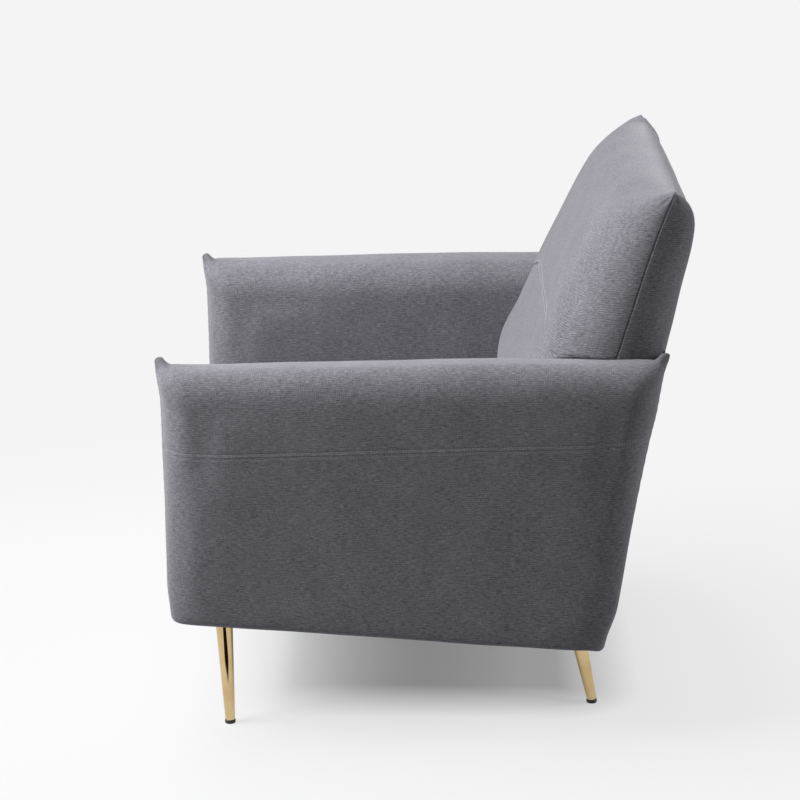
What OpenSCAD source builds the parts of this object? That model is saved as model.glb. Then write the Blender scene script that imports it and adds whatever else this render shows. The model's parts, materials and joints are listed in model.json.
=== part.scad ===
// Upholstered armchair on four tapered metal legs.
// Millimetres. +Z is up, the chair faces -Y, and +X is the sitter's left.
// The origin is on the floor, under the middle of the chair.
// Two frames carry most pieces: on_base() lies on the sloping underside, with its y running
// back from the front face, and on_rear() lies on the leaning rear face, with its z running up it.

/* [Overall] */
// Length of the base from its front face to its rear face
base_len = 656; // [600:2:720]
// Clear width between the two arms
inner_w = 550; // [500:2:640]
// Height of the underside above the floor at the front
front_clearance = 189; // [150:1:230]
// Slope of the underside, down towards the rear, in degrees
base_slope = 3.6; // [2:0.1:5]
// Lean of the rear face from upright, in degrees
rear_lean = 9.7; // [6:0.1:13]

/* [Arms] */
// Thickness of an arm at its widest
arm_t = 130; // [120:1:150]
// How far each face of an arm draws in towards the underside
arm_taper = 4; // [0:0.5:8]
// Height of the arm's top at the front
arm_top = 575; // [540:1:620]
// Rise of the arm's top from front to rear
arm_rise = 7; // [0:1:20]
// Forward lean of the arm's front edge, in degrees
front_lean = 1.1; // [0:0.1:3]
// Radius of the arm's soft shoulders
shoulder_r = 48; // [40:1:58]
// Radius of the arm's upright corners at the underside
arm_corner_r = 45; // [38:1:52]
// Radius of the edge round the underside of an arm
arm_edge_r = 16; // [10:1:20]
// Radius of the pinched ear at each end of an arm's top
ear_r = 9; // [6:0.5:12]
// How far the front ear stands out from the foot of the arm
front_ear_out = 13; // [8:1:18]
// How far the front ear stands above the arm's top
front_ear_up = 6; // [0:1:12]
// How far the rear ear stands above the arm's top
rear_ear_up = 11; // [0:1:16]

/* [Back] */
// Height of the back's top edge
back_top = 825; // [760:5:880]
// How far the back spreads over each arm
back_over_arm = 63; // [52:1:75]
// Depth of the back at the seat, along the base
back_seat_t = 179; // [165:1:195]
// Depth of the back just above the arms
back_low_t = 184; // [170:1:200]
// Depth of the back at three quarters of its height
back_mid_t = 140; // [130:1:150]
// Depth of the back under its top edge
back_top_t = 110; // [100:1:120]
// How far the rear of the back bulges out
back_bulge = 13; // [4:1:20]
// How far the back's ears stand above its top edge
back_ear_up = 3; // [0:1:10]

/* [Seat] */
// Thickness of the loose seat cushion at its edge
cushion_t = 128; // [100:2:150]
// Extra height of the cushion's crown
cushion_crown = 14; // [6:1:24]
// How far the front band sits behind the arms' front edges
band_in = 18; // [6:1:30]
// How far the cushion stands out in front of the band
cushion_nose = 10; // [0:1:14]
// Clearance between the cushion and the arms, at each side
cushion_gap = 1.5; // [0.6:0.1:6]

/* [Frame] */
// Height of the seat rails
rail_h = 90; // [70:1:110]
// Thickness of the seat rails and of the back's stiles
rail_t = 28; // [22:1:34]
// Depth of the back's stiles
stile_d = 45; // [35:1:55]
// Thickness of the thinner rear and middle rails
thin_rail_t = 24; // [18:1:28]
// Thickness of the arm's posts and top rail
arm_post_w = 40; // [30:1:46]
// Depth of the arm's posts
arm_post_d = 50; // [40:1:60]
// Thickness of the board under each arm
arm_board_t = 25; // [20:1:32]
// Thickness of the hardboard panels
panel_t = 3; // [2:0.5:6]

/* [Padding and covers] */
// Thickness of the woven cover with its backing
cover_t = 2; // [1:0.25:3]
// Gap left between layers that press together on the real chair
lay = 0.3; // [0.2:0.05:0.4]
// Foam between the arm's frame and its front, rear and top
arm_pad = 42; // [36:1:48]
// Wadding between the rear board and the rear cover
rear_pad_t = 8; // [5:1:12]
// Thickness of the padding on the front rail
front_pad_t = 10; // [6:1:14]
// Thickness of the felt on the springs
felt_t = 4; // [2:0.5:8]
// Thickness of the dust cover under the seat
dust_t = 1.2; // [0.8:0.1:1.6]

/* [Legs] */
// Diameter of a leg where it meets the chair
leg_top_d = 28; // [24:0.5:34]
// Diameter of a leg at the floor
leg_foot_d = 15; // [12:0.5:20]
// Distance from the middle of an arm to the top of its front leg
front_leg_off = 26; // [18:1:28]
// Distance from the front face to the top of a front leg
front_leg_in = 76; // [70:1:100]
// Rearward slant of a front leg, in degrees
front_slant = 2.6; // [0:0.1:5]
// Distance from an arm's inner face to the top of a rear leg
rear_leg_side = 50; // [46:1:66]
// Distance from the foot of the rear face to the top of a rear leg
rear_leg_in = 48; // [46:1:62]
// Rearward slant of a rear leg, in degrees
rear_slant = 12.5; // [6:0.1:15]
// Outward slant of all four legs, in degrees
leg_splay = 2.5; // [0:0.1:4]
// Height of the glide under a leg
glide_h = 6; // [4:0.5:9]
// Diameter of the glide
glide_d = 16.4; // [14:0.1:22]
// Radius of the threaded stud that holds a leg
stud_r = 4; // [3:0.5:5]
// Radius of the bolts that hold the arms
bolt_r = 4; // [3:0.5:5]

/* [Springs] */
// Number of seat springs
spring_count = 5; // [3:1:6]
// Half the thickness of the spring wire
wire_r = 1.75; // [1.4:0.05:2.2]
// Half the width of a spring's zigzag
spring_half_w = 24; // [18:1:30]

/* [Hidden] */

$fn = 48;
soft_fn = 24;
crown_fn = 32;
far = 2000;
fabric = [0.34, 0.34, 0.36];
timber = [0.80, 0.66, 0.46];
foam = [0.93, 0.88, 0.70];
black = [0.08, 0.08, 0.09];
brass = [0.83, 0.69, 0.42];
steel = [0.62, 0.63, 0.65];
hardboard = [0.55, 0.40, 0.26];

// Where the two leaning frames start
slope_tan = tan(base_slope);
lean_tan = tan(rear_lean);
rear_foot_z = front_clearance - base_len * slope_tan;
bulge_below_top = 65;
back_reach = (back_top - bulge_below_top - rear_foot_z) * lean_tan + back_bulge;
front_y = (front_ear_out - base_len - back_reach) / 2;
rear_y = front_y + base_len;
base_run = base_len / cos(base_slope);

// Height above the floor of the plane n above the underside, at y
function base_z(y, n) = front_clearance - (y - front_y) * slope_tan + n / cos(base_slope);
// Depth of the plane n behind the rear face, at height z
function lean_y(z, n) = rear_y + (z - rear_foot_z) * lean_tan + n / cos(rear_lean);
// Depth of the arm's front edge at height z
function arm_front_y(z) = front_y - (z - front_clearance) * tan(front_lean);
// A point given in on_base(), as [y, z] of the chair
function base_pt(y, z) = [
    front_y + y * cos(base_slope) + z * sin(base_slope),
    front_clearance - y * sin(base_slope) + z * cos(base_slope)
];
// A point given in on_rear(), as [y, z] of the chair
function rear_pt(y, z) = [
    rear_y + y * cos(rear_lean) + z * sin(rear_lean),
    rear_foot_z - y * sin(rear_lean) + z * cos(rear_lean)
];
// Where the plane r behind the rear face crosses the plane n above the underside
function meet_y(r, n) = (rear_y + r / cos(rear_lean)
    + (base_z(front_y, n) + front_y * slope_tan - rear_foot_z) * lean_tan) / (1 + slope_tan * lean_tan);
function meet(r, n) = [meet_y(r, n), base_z(meet_y(r, n), n)];
// How far back along the base a point of the chair lies
function base_run_at(p) = (p[0] - front_y) * cos(base_slope) - (p[1] - front_clearance) * sin(base_slope);

// Seat frame, in on_base()
frame_low = cover_t + lay;
frame_high = frame_low + rail_h;
front_rail_y = band_in + cover_t + front_pad_t + 2 * lay;
side_gap = 3;
rail_out = inner_w / 2 - side_gap;
rail_in = rail_out - rail_t;

// Bolts between the seat's side rails and the arms' posts
bolt_up = 56;
bolt_from_edge = 13;

// Back frame, in on_rear()
glue = 0.05;
rear_face = -(cover_t + rear_pad_t + panel_t + glue + 2 * lay);
board_face = rear_face + glue;
stile_face = rear_face - stile_d;
web_t = 1.5;
web_w = 50;
web_count = 5;
web_low_run = 180;
web_face = stile_face - web_t - 2 * lay;
arm_top_rear = arm_top + arm_rise;
split_above_arms = 1.5;
split_z = arm_top_rear + split_above_arms;
split_run = (split_z - rear_foot_z) / cos(rear_lean);
top_pad = 52;
frame_top_run = (back_top - rear_foot_z) / cos(rear_lean) - top_pad;
top_rail_h = 45;
stile_top_run = frame_top_run - top_rail_h;
wing_pad = 35;
wing_w = back_over_arm - wing_pad;
wing_above_split = 20;
mid_rail_above_split = 12;
mid_rail_h = 60;
back_half_w = inner_w / 2 + back_over_arm;
seat_depth = base_run - back_seat_t;
belly_up = 277;
belly_step = [5, 37];

// Arms
arm_x = inner_w / 2 + arm_t / 2;
arm_base_t = arm_t - 2 * arm_taper;
board_in = arm_edge_r + 1;
board_top = frame_low + arm_board_t;
post_front_y = front_y + arm_pad;
arm_rail_high = arm_top - arm_pad;
arm_rail_h = 30;
arm_rail_low = arm_rail_high - arm_rail_h;
front_ear_root = [arm_front_y(arm_top) + ear_r + 1, arm_top - ear_r - 3];
rear_ear_root = [lean_y(arm_top_rear, -ear_r - 3), arm_top_rear - ear_r - 3];

// Deck and cushion, in on_base()
clip_t = 1;
wire_z = frame_high + clip_t + 0.1 + wire_r;
felt_low = wire_z + wire_r + 0.1 + clip_t + lay;
deck_low = felt_low + felt_t + lay;
deck_t = 1.5;
deck_high = deck_low + deck_t;
band_corner = 6;
cushion_low = deck_high + lay;
cushion_front = band_in - cushion_nose;
cushion_rear_gap = 3.2;
cushion_rear = seat_depth - cushion_rear_gap;
cushion_half = inner_w / 2 - cushion_gap;
cushion_corner_r = 40;
cushion_top_r = 32;
cushion_low_r = 18;

// Spheres that shape the back above the arms: [height, depth of the back there, radius]
low_roll = [split_z - 12, back_low_t, 75];
mid_roll = [back_top - 102, back_mid_t, 60];
top_roll = [back_top - 45, back_top_t, 45];
rear_roll_r = 38;
rear_low_r = 50;
back_ear_r = 8;

// Legs
insert_r = 7;
insert_low = 6;
insert_len = arm_board_t - 7;
bore_fit = 0.02;
stud_in_leg = 18;
stem_r = 3.5;
stem_len = 14;

module on_base() {
    translate([0, front_y, front_clearance]) rotate([-base_slope, 0, 0]) children();
}

module on_rear() {
    translate([0, rear_y, rear_foot_z]) rotate([-rear_lean, 0, 0]) children();
}

// A board of width w about x, whose outline is given as [y, z] points of the chair
module slab(x, w, points) {
    translate([x - w / 2, 0, 0]) rotate([90, 0, 90]) linear_extrude(w) polygon(points);
}

module box(lo, hi) {
    translate(lo) cube(hi - lo);
}

module rounded_plate(w, l, r, t) {
    linear_extrude(t) union() {
        square([w - 2 * r, l], center = true);
        square([w, l - 2 * r], center = true);
        for (sx = [-1, 1], sy = [-1, 1]) translate([sx * (w / 2 - r), sy * (l / 2 - r)]) circle(r);
    }
}

// A disc of radius R with a rounded edge of radius r, lying about its middle plane
module soft_disc(R, r) {
    rotate_extrude($fn = soft_fn) intersection() {
        translate([R - r, 0]) circle(r, $fn = 20);
        translate([0, -r]) square([R, 2 * r]);
    }
}

// ---- Timber frame ----

module seat_front_rail() {
    color(timber) on_base()
        box([-rail_out, front_rail_y, frame_low], [rail_out, front_rail_y + rail_t, frame_high]);
}

module seat_rear_rail() {
    front = rear_face - thin_rail_t;
    color(timber) slab(0, 2 * rail_in, [
        meet(front, frame_low), meet(rear_face, frame_low),
        meet(rear_face, frame_high), meet(front, frame_high)
    ]);
}

module seat_side_rail(side) {
    front = front_rail_y + rail_t;
    color(timber) difference() {
        slab(side * (rail_in + rail_out) / 2, rail_t, [
            base_pt(front, frame_low), meet(stile_face, frame_low),
            meet(stile_face, frame_high), base_pt(front, frame_high)
        ]);
        arm_bolt_holes(side, bolt_r + 0.5);
    }
}

module front_corner_blocks() {
    leg = 58;
    block_h = 40;
    color(timber) on_base() for (side = [-1, 1])
        translate([side * rail_in, front_rail_y + rail_t, frame_low]) linear_extrude(block_h)
            polygon([[0, 0], [-side * leg, 0], [0, leg]]);
}

module rear_leg_blocks() {
    block_w = 64;
    block_h = 42;
    rear = rear_face - thin_rail_t;
    front = rear - 64;
    color(timber) difference() {
        for (side = [-1, 1]) slab(side * (rail_in - block_w / 2), block_w, [
            meet(front, frame_low), meet(rear, frame_low),
            meet(rear, frame_low + block_h), meet(front, frame_low + block_h)
        ]);
        for (side = [-1, 1]) rear_leg_axis(side) insert_hole();
    }
}

module back_stile(side) {
    color(timber) slab(side * (rail_in + rail_out) / 2, rail_t, [
        meet(stile_face, frame_low), meet(rear_face, frame_low),
        rear_pt(rear_face, stile_top_run), rear_pt(stile_face, stile_top_run)
    ]);
}

module back_top_rail() {
    half = rail_out + wing_w;
    color(timber) on_rear()
        box([-half, stile_face, stile_top_run], [half, rear_face, frame_top_run]);
}

module back_middle_rail() {
    low = split_run + mid_rail_above_split;
    color(timber) on_rear()
        box([-rail_in, stile_face, low], [rail_in, stile_face + thin_rail_t, low + mid_rail_h]);
}

module back_wing_blocks() {
    low = split_run + wing_above_split;
    color(timber) on_rear() for (side = [0, 1]) mirror([side, 0, 0])
        box([rail_out, stile_face, low], [rail_out + wing_w, rear_face, stile_top_run]);
}

module back_board() {
    half = rail_out;
    color(hardboard) slab(0, 2 * half, [
        meet(board_face, frame_low), meet(board_face + panel_t, frame_low),
        rear_pt(board_face + panel_t, frame_top_run - 2), rear_pt(board_face, frame_top_run - 2)
    ]);
}

module back_webbing() {
    half = rail_out - 4;
    step = (stile_top_run - 40 - web_w - web_low_run) / (web_count - 1);
    color(black) on_rear() for (k = [0 : web_count - 1])
        translate([0, 0, web_low_run + k * step])
            box([-half, stile_face - lay - web_t, 0], [half, stile_face - lay, web_w]);
}

// ---- Arm frames ----

module arm_base_board(side) {
    w = arm_base_t - 2 * board_in;
    l = base_run - 2 * board_in;
    color(timber) difference() {
        on_base() translate([side * arm_x, base_run / 2, frame_low])
            rounded_plate(w, l, arm_corner_r - board_in, arm_board_t);
        front_leg_axis(side) insert_hole();
    }
}

module arm_front_post(side) {
    y1 = post_front_y;
    y2 = post_front_y + arm_post_d;
    color(timber) difference() {
        slab(side * arm_x, arm_post_w, [
            [y1, base_z(y1, board_top)], [y2, base_z(y2, board_top)],
            [y2, arm_rail_low], [y1, arm_rail_low]
        ]);
        arm_bolt_holes(side, bolt_r + bore_fit);
    }
}

module arm_rear_post(side) {
    front = -arm_pad - arm_post_d;
    color(timber) difference() {
        slab(side * arm_x, arm_post_w, [
            meet(front, board_top), meet(-arm_pad, board_top),
            [lean_y(arm_rail_low, -arm_pad), arm_rail_low], [lean_y(arm_rail_low, front), arm_rail_low]
        ]);
        arm_bolt_holes(side, bolt_r + bore_fit);
    }
}

module arm_top_rail(side) {
    color(timber) slab(side * arm_x, arm_post_w, [
        [post_front_y, arm_rail_low], [lean_y(arm_rail_low, -arm_pad), arm_rail_low],
        [lean_y(arm_rail_high, -arm_pad), arm_rail_high], [post_front_y, arm_rail_high]
    ]);
}

module arm_panels(side) {
    outline = [
        [post_front_y, base_z(post_front_y, board_top)], meet(-arm_pad, board_top),
        [lean_y(arm_rail_high, -arm_pad), arm_rail_high], [post_front_y, arm_rail_high]
    ];
    offset_x = (arm_post_w + panel_t) / 2;
    color(hardboard) difference() {
        for (face = [-1, 1]) slab(side * arm_x + face * offset_x, panel_t, outline);
        arm_bolt_holes(side, bolt_r + 0.5);
    }
}

// The two bolts that run from the seat rail into each arm's posts
bolt_front_y = post_front_y + arm_post_d - bolt_from_edge;
bolt_front = [bolt_front_y, base_z(bolt_front_y, bolt_up)];
bolt_rear = meet(-arm_pad - arm_post_d + bolt_from_edge, bolt_up);
bolt_tip = arm_x + arm_post_w / 2 - 8;

module along_bolt(side, at) {
    translate([0, at[0], at[1]]) mirror([side < 0 ? 1 : 0, 0, 0]) rotate([0, 90, 0]) children();
}

module arm_bolt_holes(side, r) {
    for (at = [bolt_front, bolt_rear])
        along_bolt(side, at) translate([0, 0, rail_in - 20]) cylinder(r = r, h = bolt_tip - rail_in + 20.5);
}

module arm_bolts() {
    head_h = 5;
    color(steel) for (side = [-1, 1], at = [bolt_front, bolt_rear]) along_bolt(side, at) {
        translate([0, 0, rail_in - lay - head_h]) cylinder(r = 1.9 * bolt_r, h = head_h);
        translate([0, 0, rail_in - lay - 1]) cylinder(r = bolt_r, h = bolt_tip - rail_in + lay + 1);
    }
}

// ---- Springs, deck and base covers ----

spring_y1 = front_rail_y + rail_t / 2;
spring_y2 = base_run_at(meet(rear_face - thin_rail_t / 2, frame_high));
loop_count = round((spring_y2 - spring_y1) / 50);
loop_len = (spring_y2 - spring_y1) / loop_count;
outer_spring_in = 65;
spring_step = 2 * (rail_in - outer_spring_in) / (spring_count - 1);
loop_points = 12;

// The zigzag of one spring: bars across the seat joined by round turns, moved sideways by off
function zigzag(turn) = [
    spring_half_w * sin(turn),
    spring_y1 + loop_len * (turn / 360 - sin(2 * turn) / (4 * PI))
];
function beside_zigzag(turn, off) = let (run = zigzag(turn + 6) - zigzag(turn - 6))
    zigzag(turn) + off * [-run[1], run[0]] / norm(run);

module spring() {
    turns = [for (k = [1 : loop_points * (loop_count + 0.5) - 1]) -90 + k * 360 / loop_points];
    last = len(turns) - 1;
    translate([0, 0, wire_z - wire_r]) linear_extrude(2 * wire_r) polygon(concat(
        [for (turn = turns) beside_zigzag(turn, wire_r)],
        [for (k = [last : -1 : 0]) beside_zigzag(turns[k], -wire_r)]
    ));
}

module seat_springs() {
    color(steel) on_base() for (k = [0 : spring_count - 1])
        translate([(k - (spring_count - 1) / 2) * spring_step, 0, 0]) spring();
}

module spring_clips() {
    clip_w = 22;
    tongue = 9;
    play = 0.9;
    inner = wire_r + 0.1;
    outer = inner + clip_t;
    inner_y = wire_r + play;
    outer_y = inner_y + clip_t;
    color(steel) on_base() for (k = [0 : spring_count - 1], at = [[spring_y1, 1], [spring_y2, -1]])
        translate([(k - (spring_count - 1) / 2) * spring_step - clip_w / 2, at[0], wire_z])
            rotate([90, 0, 90]) linear_extrude(clip_w) scale([at[1], 1]) polygon([
                [tongue, -outer], [tongue, -inner], [-inner_y, -inner], [-inner_y, inner],
                [inner_y, inner], [inner_y, outer], [-outer_y, outer], [-outer_y, -outer]
            ]);
}

deck_rear = base_run_at(meet(stile_face, felt_low)) - lay;

module seat_felt() {
    color([0.62, 0.60, 0.56]) on_base()
        box([-rail_out, front_rail_y, felt_low], [rail_out, deck_rear, felt_low + felt_t]);
}

module seat_deck() {
    color(black) on_base()
        box([-rail_out, front_rail_y + rail_t, deck_low], [rail_out, deck_rear, deck_high]);
}

module front_band_pad() {
    y = band_in + cover_t + lay;
    color(foam) on_base()
        box([-rail_out, y, band_corner], [rail_out, y + front_pad_t, deck_high - band_corner]);
}

// The band of cover over the front rail, turned in under it and over the deck's front edge
module front_band_cover() {
    hem = 30;
    half = inner_w / 2 - lay;
    corner = band_corner;
    color(fabric) on_base() translate([-half, band_in, 0]) rotate([90, 0, 90]) linear_extrude(2 * half)
        difference() {
            union() {
                translate([corner, 0]) square([hem - corner, deck_high]);
                translate([0, corner]) square([hem, deck_high - 2 * corner]);
                translate([corner, corner]) circle(corner);
                translate([corner, deck_high - corner]) circle(corner);
            }
            translate([corner, cover_t]) square([hem, deck_high - deck_t - cover_t]);
            translate([cover_t, corner]) square([hem, deck_high - 2 * corner]);
            translate([corner, corner]) circle(corner - cover_t);
            translate([corner, deck_high - corner]) circle(corner - cover_t);
        }
}

module dust_cover() {
    y1 = band_in + 32;
    y2 = base_run_at(meet(rear_face, 0));
    half = rail_out - 2;
    color(black) difference() {
        on_base() box([-half, y1, cover_t - dust_t], [half, y2, cover_t]);
        for (side = [-1, 1]) rear_leg_axis(side) translate([0, 0, -20]) cylinder(r = insert_r + 1, h = 40);
    }
}

// ---- Arm padding and covers ----

// The soft shape of an arm about x = 0, drawn in by i
module arm_form(i) {
    hull() {
        for (side = [-1, 1]) {
            translate([
                side * (arm_t / 2 - shoulder_r),
                arm_front_y(arm_top - shoulder_r) + shoulder_r,
                arm_top - shoulder_r
            ]) sphere(shoulder_r - i, $fn = soft_fn);
            translate([
                side * (arm_t / 2 - shoulder_r),
                lean_y(arm_top_rear - shoulder_r, -shoulder_r),
                arm_top_rear - shoulder_r
            ]) sphere(shoulder_r - i, $fn = soft_fn);
            for (y = [arm_corner_r, base_run - arm_corner_r])
                on_base() translate([side * (arm_base_t / 2 - arm_corner_r), y, arm_edge_r])
                    soft_disc(arm_corner_r - i, arm_edge_r - i);
        }
        for (at = [front_ear_root, rear_ear_root]) translate([0, at[0], at[1]]) sphere(ear_r - i, $fn = 16);
    }
}

// The pinched ears at both ends of an arm's top, about x = 0
module arm_ears() {
    tip_r = 3;
    for (ends = [
        [front_ear_root, [front_y - front_ear_out + tip_r, arm_top + front_ear_up - tip_r]],
        [rear_ear_root, [lean_y(arm_top_rear, 2 - tip_r), arm_top_rear + rear_ear_up - tip_r]]
    ]) hull() {
        translate([0, ends[0][0], ends[0][1]]) sphere(ear_r - 2, $fn = 16);
        translate([0, ends[1][0], ends[1][1]]) sphere(tip_r, $fn = 16);
    }
}

module arm_cover(side) {
    hem = 22;
    w = arm_base_t - 2 * board_in - 2 * hem;
    l = base_run - 2 * board_in - 2 * hem;
    color(fabric) difference() {
        translate([side * arm_x, 0, 0]) union() {
            arm_form(0);
            arm_ears();
        }
        translate([side * arm_x, 0, 0]) arm_form(cover_t);
        on_base() translate([side * arm_x, base_run / 2, -5]) rounded_plate(w, l, 8, 20);
        front_leg_axis(side) translate([0, 0, -20]) cylinder(r = insert_r + 1, h = 40);
        arm_bolt_holes(side, bolt_r + 1);
    }
}

module arm_foam(side) {
    slot_w = arm_post_w + 2 * panel_t + 2 * lay;
    y1 = post_front_y - lay;
    high = arm_rail_high + lay;
    below = -40;
    w = arm_base_t - 2 * board_in + 2 * lay;
    l = base_run - 2 * board_in + 2 * lay;
    color(foam) difference() {
        translate([side * arm_x, 0, 0]) arm_form(cover_t + lay);
        slab(side * arm_x, slot_w, [
            [y1, base_z(y1, below)], meet(-arm_pad + lay, below),
            [lean_y(high, -arm_pad + lay), high], [y1, high]
        ]);
        on_base() translate([side * arm_x, base_run / 2, below])
            rounded_plate(w, l, arm_corner_r - board_in + lay, board_top + lay - below);
        arm_bolt_holes(side, bolt_r + 1);
    }
}

// ---- Back padding and covers ----

module back_ball(roll, x, i) {
    for (side = [-1, 1]) translate([side * x, lean_y(roll[0], 0) - roll[1] + roll[2], roll[0]])
        sphere(roll[2] - i, $fn = soft_fn);
}

// The soft shape of the back above the arms, drawn in by i and left long at the bottom
module back_form(i) {
    ear_z = back_top + back_ear_up - back_ear_r;
    hull() {
        for (roll = [low_roll, mid_roll, top_roll]) back_ball(roll, back_half_w - roll[2], i);
        back_ball([back_top - rear_roll_r - 3, rear_roll_r + rear_roll_r, rear_roll_r],
            back_half_w - rear_roll_r, i);
        back_ball([split_z - 24, 2 * rear_low_r, rear_low_r], back_half_w - rear_low_r, i);
        back_ball([back_top - bulge_below_top, 2 * mid_roll[2] - back_bulge, mid_roll[2]],
            back_half_w / 3, i);
        for (side = [-1, 1])
            translate([side * (back_half_w - back_ear_r), lean_y(ear_z, -36), ear_z])
                sphere(back_ear_r - i, $fn = 16);
    }
}

module below_split() {
    box([-far, -far, -far], [far, far, split_z]);
}

module back_cover_upper() {
    color(fabric) difference() {
        back_form(0);
        back_form(cover_t);
        below_split();
    }
}

module back_foam_upper() {
    half = rail_out + wing_w + lay;
    color(foam) difference() {
        back_form(cover_t + lay);
        below_split();
        on_rear() box([-half, web_face, 0], [half, board_face + panel_t + lay, frame_top_run + lay]);
    }
}

// The front outline of the back between the arms, drawn in by i
function low_front(i) =
    let (foot = base_pt(seat_depth, cushion_low), belly = base_pt(seat_depth, belly_up)) [
    foot + [i, 0], belly + [i, 0], belly + belly_step + [i, 0],
    [lean_y(split_z, 0) - back_low_t + i, split_z - lay]
];

module back_cover_lower() {
    half = inner_w / 2 - 2 * lay;
    outer = low_front(0);
    inner = low_front(cover_t);
    color(fabric) slab(0, 2 * half, concat(outer, [for (k = [len(inner) - 1 : -1 : 0]) inner[k]]));
}

module back_foam_lower() {
    rear_low = meet(web_face, cushion_low);
    color(foam) slab(0, 2 * rail_out, concat(
        low_front(cover_t + lay),
        [[lean_y(split_z - lay, web_face), split_z - lay], rear_low]
    ));
}

module back_wadding() {
    face = board_face + panel_t + lay;
    color([0.93, 0.93, 0.91]) slab(0, 2 * rail_out, [
        meet(face, frame_low), meet(-cover_t - lay, frame_low),
        [lean_y(split_z - lay, -cover_t - lay), split_z - lay], [lean_y(split_z - lay, face), split_z - lay]
    ]);
}

// The rear cover between the arms, with its two sides turned in round the stiles
module back_outside_panel() {
    half = inner_w / 2 - 2 * lay;
    turn_in = 60;
    color(fabric) difference() {
        slab(0, 2 * half, rear_band(-turn_in, 0));
        slab(0, 2 * (half - cover_t), rear_band(-turn_in - 5, -cover_t));
    }
}

// The outline between two planes behind the rear face, from the underside to the arms' tops
function rear_band(r1, r2) = let (high = split_z - lay) [
    meet(r1, 0), meet(r2, 0), [lean_y(high, r2), high], [lean_y(high, r1), high]
];

// ---- Loose seat cushion ----

// The cushion's soft shape in on_base(), drawn in by i
module cushion_form(i) {
    high = cushion_low + cushion_t;
    mid_y = (cushion_front + cushion_rear) / 2;
    hull() {
        for (sx = [-1, 1], y = [cushion_front + cushion_corner_r, cushion_rear - cushion_corner_r]) {
            translate([sx * (cushion_half - cushion_corner_r), y, high - cushion_top_r])
                soft_disc(cushion_corner_r - i, cushion_top_r - i);
            translate([sx * (cushion_half - cushion_corner_r), y, cushion_low + cushion_low_r])
                soft_disc(cushion_corner_r - i, cushion_low_r - i);
        }
        translate([0, mid_y, high - cushion_crown]) scale([
            0.72 * cushion_half - i, 0.36 * (cushion_rear - cushion_front) - i, 2 * cushion_crown - i
        ]) sphere(1, $fn = crown_fn);
    }
}

module cushion_window(grow, z1, z2) {
    w = 2 * (cushion_half - cushion_low_r - 6);
    l = cushion_rear - cushion_front - 2 * (cushion_low_r + 6);
    translate([0, (cushion_front + cushion_rear) / 2, z1])
        rounded_plate(w + 2 * grow, l + 2 * grow, 16 + grow, z2 - z1);
}

module seat_cushion_foam() {
    color(foam) on_base() cushion_form(cover_t + lay);
}

module seat_cushion_cover() {
    color(fabric) on_base() difference() {
        cushion_form(0);
        cushion_form(cover_t);
        cushion_window(0, cushion_low - 5, cushion_low + cover_t + 3);
    }
}

module seat_cushion_underside() {
    color(black) on_base() cushion_window(-lay, cushion_low, cushion_low + cover_t);
}

module seat_cushion_zip() {
    zip_in = 70;
    zip_up = 52;
    half = cushion_half - zip_in;
    y = cushion_rear + lay;
    z = cushion_low + zip_up;
    color(black) on_base() {
        box([-half, y, z - 12], [half, y + 0.7, z + 12]);
        box([-half, y, z - 3], [half, y + 1.6, z + 3]);
        box([half - 16, y, z - 5.5], [half - 4, y + 2.2, z + 5.5]);
    }
}

// ---- Legs ----

front_top = [arm_x - front_leg_off, front_y + front_leg_in, base_z(front_y + front_leg_in, 0)];
rear_top = [inner_w / 2 - rear_leg_side, rear_y - rear_leg_in, base_z(rear_y - rear_leg_in, 0)];

function leg_len(top, slant) = top[2] / cos(slant) / cos(leg_splay);

// The point at the foot end of a leg, where it meets its glide
function leg_foot(side, top, slant) =
    let (run = leg_len(top, slant) - glide_h / cos(slant) / cos(leg_splay))
    [side * (top[0] + run * cos(slant) * sin(leg_splay)), top[1] + run * sin(slant), 0];

// A frame at the top of a leg, with z running up the leg
module leg_axis(side, top, slant) {
    translate([side * top[0], top[1], top[2]]) rotate([slant, -side * leg_splay, 0]) children();
}

module front_leg_axis(side) {
    leg_axis(side, front_top, front_slant) children();
}

module rear_leg_axis(side) {
    leg_axis(side, rear_top, rear_slant) children();
}

module insert_hole() {
    translate([0, 0, -20]) cylinder(r = insert_r, h = 20 + insert_low + insert_len);
}

module leg(side, top, slant, top_plane) {
    length = leg_len(top, slant);
    taper = (leg_top_d - leg_foot_d) / 2 / length;
    spare = 30;
    color(brass) difference() {
        leg_axis(side, top, slant) difference() {
            translate([0, 0, -length - spare]) cylinder(
                r1 = leg_foot_d / 2 - taper * spare,
                r2 = leg_top_d / 2 + taper * spare,
                h = length + 2 * spare
            );
            translate([0, 0, -stud_in_leg]) cylinder(r = stud_r + bore_fit, h = stud_in_leg + 2 * spare);
            translate([0, 0, -length - spare])
                cylinder(r = stem_r + bore_fit, h = spare + glide_h + stem_len + 1);
        }
        box([-far, -far, -far], [far, far, glide_h]);
        on_base() box([-far, -far, top_plane], [far, far, far]);
    }
}

module leg_front(side) {
    leg(side, front_top, front_slant, -lay);
}

module leg_rear(side) {
    leg(side, rear_top, rear_slant, cover_t - dust_t - lay);
}

module glide(side, top, slant) {
    chamfer = 1;
    at = leg_foot(side, top, slant);
    color(black) {
        translate(at) cylinder(r1 = glide_d / 2 - chamfer, r2 = glide_d / 2, h = chamfer);
        translate(at + [0, 0, chamfer]) cylinder(d = glide_d, h = glide_h - chamfer);
        difference() {
            leg_axis(side, top, slant) translate([0, 0, -leg_len(top, slant)])
                cylinder(r = stem_r, h = glide_h + stem_len);
            box([-far, -far, -far], [far, far, glide_h / 2]);
        }
    }
}

module leg_studs() {
    color(steel) for (side = [-1, 1]) {
        front_leg_axis(side) stud();
        rear_leg_axis(side) stud();
    }
}

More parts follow.
